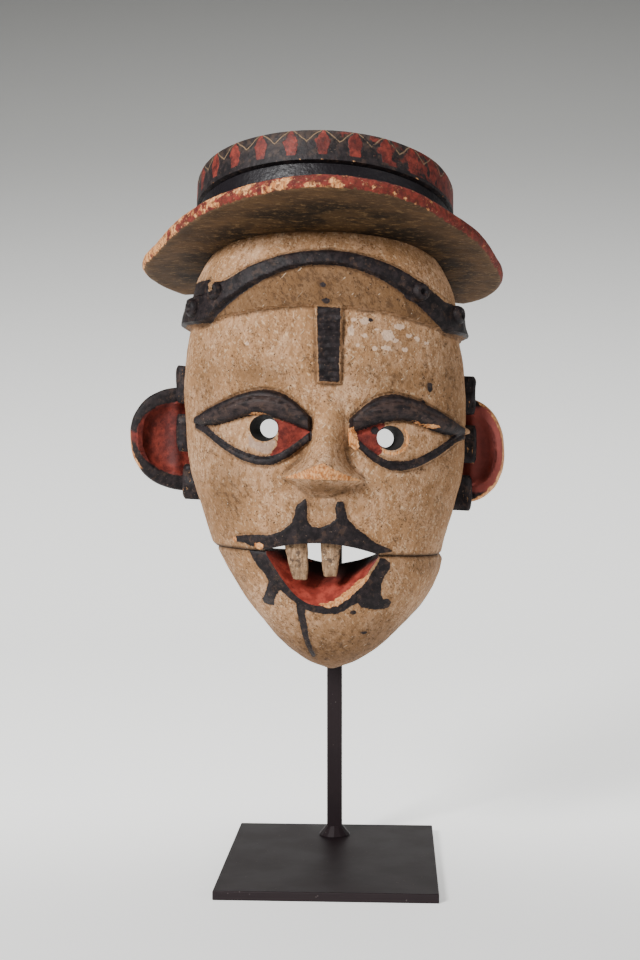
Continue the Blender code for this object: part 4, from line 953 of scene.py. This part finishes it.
jaw_coat = Finish("painted_jaw", specular=0.2)
color, height = cream_coat(jaw_coat, jaw_coat.field("shade") + jaw_coat.field("dirt") * 0.3)
# Dark grime and painted shadow along the jaw's top edge, for the gap under the face.
color = jaw_coat.over(jaw_coat.field("seam") * 0.8, color, tint(44, 30, 22))
ink, brushed = black_coat(jaw_coat)
blacked = chipped(jaw_coat, "black", 0.5, 11).most(1 - jaw_coat.field("rim").past(7.0, 1.2))
color = jaw_coat.over(blacked, color, ink)
split = chipped(jaw_coat, "bare", 0.8, 13).most(worn_edge(jaw_coat, 0.6, 5.0, 0.6) * 0.8)
color = jaw_coat.over(split, color, bare_wood(jaw_coat))
painted_jaw = jaw_coat.wear(color, 0.72 - 0.3 * blacked + 0.08 * jaw_coat.clouds(4, 3),
                            height * (1 - 0.6 * blacked) + 0.12 * blacked + brushed * blacked - 0.15 * split)

lip = Finish("red_lip", specular=0.3)
color = lip.over(lip.clouds(5, 4, seed=5).past(0.5, 0.25), tint(126, 44, 34), tint(166, 68, 54))
color = lip.patched(color, (78, 30, 26), 0.6, 0.1, 0.6, 1.5, 4, seed=6, rough=0.7)
# Painted shade: the red darkens to near black deeper into the mouth.
deep = lip.field("deep") + (lip.clouds(4, 3, seed=8) - 0.5) * 4
color = lip.over(deep.past(-36, 9), color, tint(36, 18, 16))
color = lip.over(chipped(lip, "bare", 0.8, 13), color, bare_wood(lip))
rubbed = worn_edge(lip, 0.5, 5.0, 0.52)
color = lip.over(rubbed * 0.6, color, tint(176, 92, 70))
red_lip = lip.wear(color, 0.5 + 0.15 * lip.clouds(3, 3), 0.3 * lip.clouds(2.4, 4) + 0.1 * lip.clouds(0.8, 3))

raw_jaw = Finish("raw_jaw")
grain = raw_jaw.clouds(1.6, 4, stretch=(1, 1, 9), seed=2)
color = raw_jaw.over(grain.past(0.5, 0.3), tint(62, 40, 30), tint(90, 62, 44))
color = raw_jaw.over(1 - raw_jaw.field("deep").past(-26, 14), color, tint(72, 30, 26))
raw_jaw_wood = raw_jaw.wear(color, 0.78 + 0.1 * grain, 0.35 * grain + 0.5 * raw_jaw.clouds(5, 3, seed=4))
dress(jaw, painted_jaw, red_lip, raw_jaw_wood)
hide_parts("jaw")
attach(jaw, "jaw")

# Peg teeth
# Two whittled pegs of grey, weathered wood, driven up into sockets in the lip. They narrow downwards to
# a worn tip, split along the grain.
peg = Finish("weathered_peg")
grain = peg.clouds(0.9, 4, stretch=(1, 1, 6), seed=2)
color = peg.over(grain.past(0.5, 0.3), tint(122, 92, 64), tint(172, 138, 104))
color = peg.patched(color, (62, 44, 32), 0.54, 0.12, 0.85, 3.0, 5, seed=3, rough=0.65)
color = peg.patched(color, (206, 178, 146), 0.62, 0.08, 0.6, 1.4, 4, seed=4, rough=0.65)
color = peg.over((0 - peg.field("drop")).past(12, 9) * 0.45, color, tint(112, 84, 56))
peg_wood = peg.wear(color, 0.74 + 0.1 * grain, 0.35 * grain + 0.3 * peg.clouds(1.6, 4))
TOOTH_FRONT, TOOTH_BACK, TOOTH_NECK, TOOTH_HEAD, TIP_BEVEL = -48.6, -42.4, SPLIT + 5.0, 4.6, 0.35
SQUARENESS = 0.62
for name, top_x, tip_x, top_half, tip_half, tip_z in (("tooth_left", -15.2, -12.9, 6.1, 3.2, 149.8),
                                                      ("tooth_right", 1.9, 1.4, 5.3, 2.9, 151.9)):
    rings = []
    from_tip = TIP_BEVEL + np.linspace(0, 1, 30) * (TOOTH_NECK + TOOTH_HEAD - tip_z - TIP_BEVEL)
    for z in np.concatenate([[tip_z], tip_z + from_tip]):
        share = np.clip((z - tip_z) / (TOOTH_NECK - tip_z), 0, 1)
        half = tip_half + (top_half - tip_half) * share ** 0.55 - (0.9 if z == tip_z else 0)
        back = TOOTH_BACK - (1 - share) * 2.2
        deep = (back - TOOTH_FRONT) / 2 - (0.5 if z == tip_z else 0)
        angle = np.linspace(-math.pi, math.pi, 44, endpoint=False)
        x = half * np.sign(np.cos(angle)) * abs(np.cos(angle)) ** SQUARENESS + tip_x + (top_x - tip_x) * share
        y = deep * np.sign(np.sin(angle)) * abs(np.sin(angle)) ** SQUARENESS + (TOOTH_FRONT + back) / 2
        inward = 1 - 0.03 * (1 + lumps(x, y, z, 3.6, 50)) - 0.015 * (1 + lumps(x, y, z, 1.6, 51))
        x, y = (x - x.mean()) * inward + x.mean(), (y - y.mean()) * inward + y.mean()
        splits = 0.4 * lumps(x, y, 0, 2.5, 52) if z < tip_z + 2 else 0 * x
        rings.append(np.stack([x, y, z + splits], axis=-1))
    tooth = skin(f"carved_{name}", rings, 0)
    tooth.data.materials.clear()
    tooth.data.materials.append(peg_wood)
    readings(tooth, drop=unplace(mesh_array(tooth.data.vertices, "co", 3))[2] - TOOTH_NECK)
    bpy.ops.object.shade_smooth_by_angle(angle=math.radians(40))
    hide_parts(name)
    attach(tooth, "mask_on_stand")

# Jaw ties
# Small rings of two-ply plant-fibre cord, one through the back corners of mask and jaw on each side.
# The jaw swings on them.
cord = Finish("fibre_cord")
color = cord.over(cord.clouds(0.5, 3, seed=2).past(0.5, 0.3), tint(126, 102, 66), tint(168, 142, 100))
color = cord.over((0 - cord.field("ply")).past(0.3, 0.8) * 0.8, color, tint(70, 54, 36))
twisted = cord.wear(color, 0.88 + 0.05 * cord.clouds(1, 2), 0.12 * cord.clouds(0.35, 3))
TIE_RADIUS, CORD_RADIUS, TWISTS = 0.006, 0.0011, 11
for side in ("left", "right"):
    low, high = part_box(f"jaw_tie_{side}")
    bpy.ops.object.select_all(action="DESELECT")
    bpy.ops.mesh.primitive_torus_add(major_segments=150, minor_segments=20, major_radius=TIE_RADIUS,
                                     minor_radius=CORD_RADIUS)
    ring = bpy.context.object
    ring.name = f"cord_{side}"
    points = mesh_array(ring.data.vertices, "co", 3)
    round_ring = np.arctan2(points[:, 1], points[:, 0])
    out = np.hypot(points[:, 0], points[:, 1]) - TIE_RADIUS
    ply = abs(np.sin(np.arctan2(points[:, 2], out) + TWISTS * round_ring))
    thin = 1 - 0.28 * (1 - ply) ** 1.5
    reach = TIE_RADIUS + out * thin
    plied = [reach * np.cos(round_ring), reach * np.sin(round_ring), points[:, 2] * thin]
    upright = np.array(Matrix.Rotation(math.pi / 2 + math.atan(slant(SPLIT)), 3, "Y"))
    plied = np.stack(plied, axis=-1) @ upright.T + np.array((low + high) / 2)
    ring.data.vertices.foreach_set("co", plied.ravel())
    ring.data.update()
    readings(ring, ply=2 * ply - 1.4)
    ring.data.materials.append(twisted)
    bpy.ops.object.shade_smooth()
    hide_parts(f"jaw_tie_{side}")
    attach(ring, "mask_on_stand")

# Floor, backdrop and light
# A pale sweep of studio paper that curves up behind the stand, lit by soft boxes at the left, the right
# and above. Its floor glows white, painted light, and its colour darkens higher up the sweep, painted shade.
paper = Finish("studio_paper", specular=0.1)
where = paper.place(1000)
rise_up = paper.node("ShaderNodeSeparateXYZ", {}, {0: where}, output=2)
back = paper.node("ShaderNodeSeparateXYZ", {}, {0: where}, output=1)
white = paper.over(back.past(-0.3, 0.2), tint(120, 120, 118), tint(246, 246, 244))
paper.feed(paper.shader.inputs["Base Color"], paper.over(rise_up.past(0.62, 1.7), white, tint(80, 80, 78)))
# Painted light: the floor and the foot of the sweep glow white, the front a dim grey.
lit = paper.over(rise_up.past(0.35, 0.9), tint(255, 255, 252), (0, 0, 0, 1))
paper.feed(paper.shader.inputs["Emission Color"], paper.over(back.past(0.0, 0.3), (0.3, 0.3, 0.3, 1), lit))
paper.shader.inputs["Emission Strength"].default_value = 1.1
paper.shader.inputs["Roughness"].default_value = 0.9
sweep_y = np.concatenate([[-2.2, -1.2, 0.2], 0.9 + 0.8 * np.sin(np.linspace(0, math.pi / 2, 24)), [1.7]])
sweep_z = np.concatenate([[0, 0, 0], 0.8 - 0.8 * np.cos(np.linspace(0, math.pi / 2, 24)), [3.2]])
sweep = bpy.data.meshes.new("studio_sweep")
sweep.from_pydata([(x, y, z) for y, z in zip(sweep_y, sweep_z) for x in (-3.5, 3.5)], [],
                  [(2 * k, 2 * k + 1, 2 * k + 3, 2 * k + 2) for k in range(len(sweep_y) - 1)])
sweep.shade_smooth()
sweep.materials.append(paper.material)
floor = bpy.data.objects.new("studio_sweep", sweep)
bpy.context.scene.collection.objects.link(floor)
for name, spot, size, power in (("key", (-0.8, -1.15, 0.88), 0.42, 36), ("fill", (1.3, -0.9, 0.6), 1.0, 7),
                                ("top", (-0.1, 0.0, 1.7), 0.9, 8)):
    box = bpy.data.lights.new(name, "AREA")
    box.shape, box.size, box.energy = "SQUARE", size, power
    light = bpy.data.objects.new(name, box)
    light.location = spot
    light.rotation_euler = (Vector((0, 0, 0.2)) - Vector(spot)).to_track_quat("-Z", "Y").to_euler()
    bpy.context.scene.collection.objects.link(light)
world = bpy.data.worlds.new("studio")
world.use_nodes = True
world.node_tree.nodes["Background"].inputs["Color"].default_value = (1, 1, 1, 1)
world.node_tree.nodes["Background"].inputs["Strength"].default_value = 0.13
bpy.context.scene.world = world
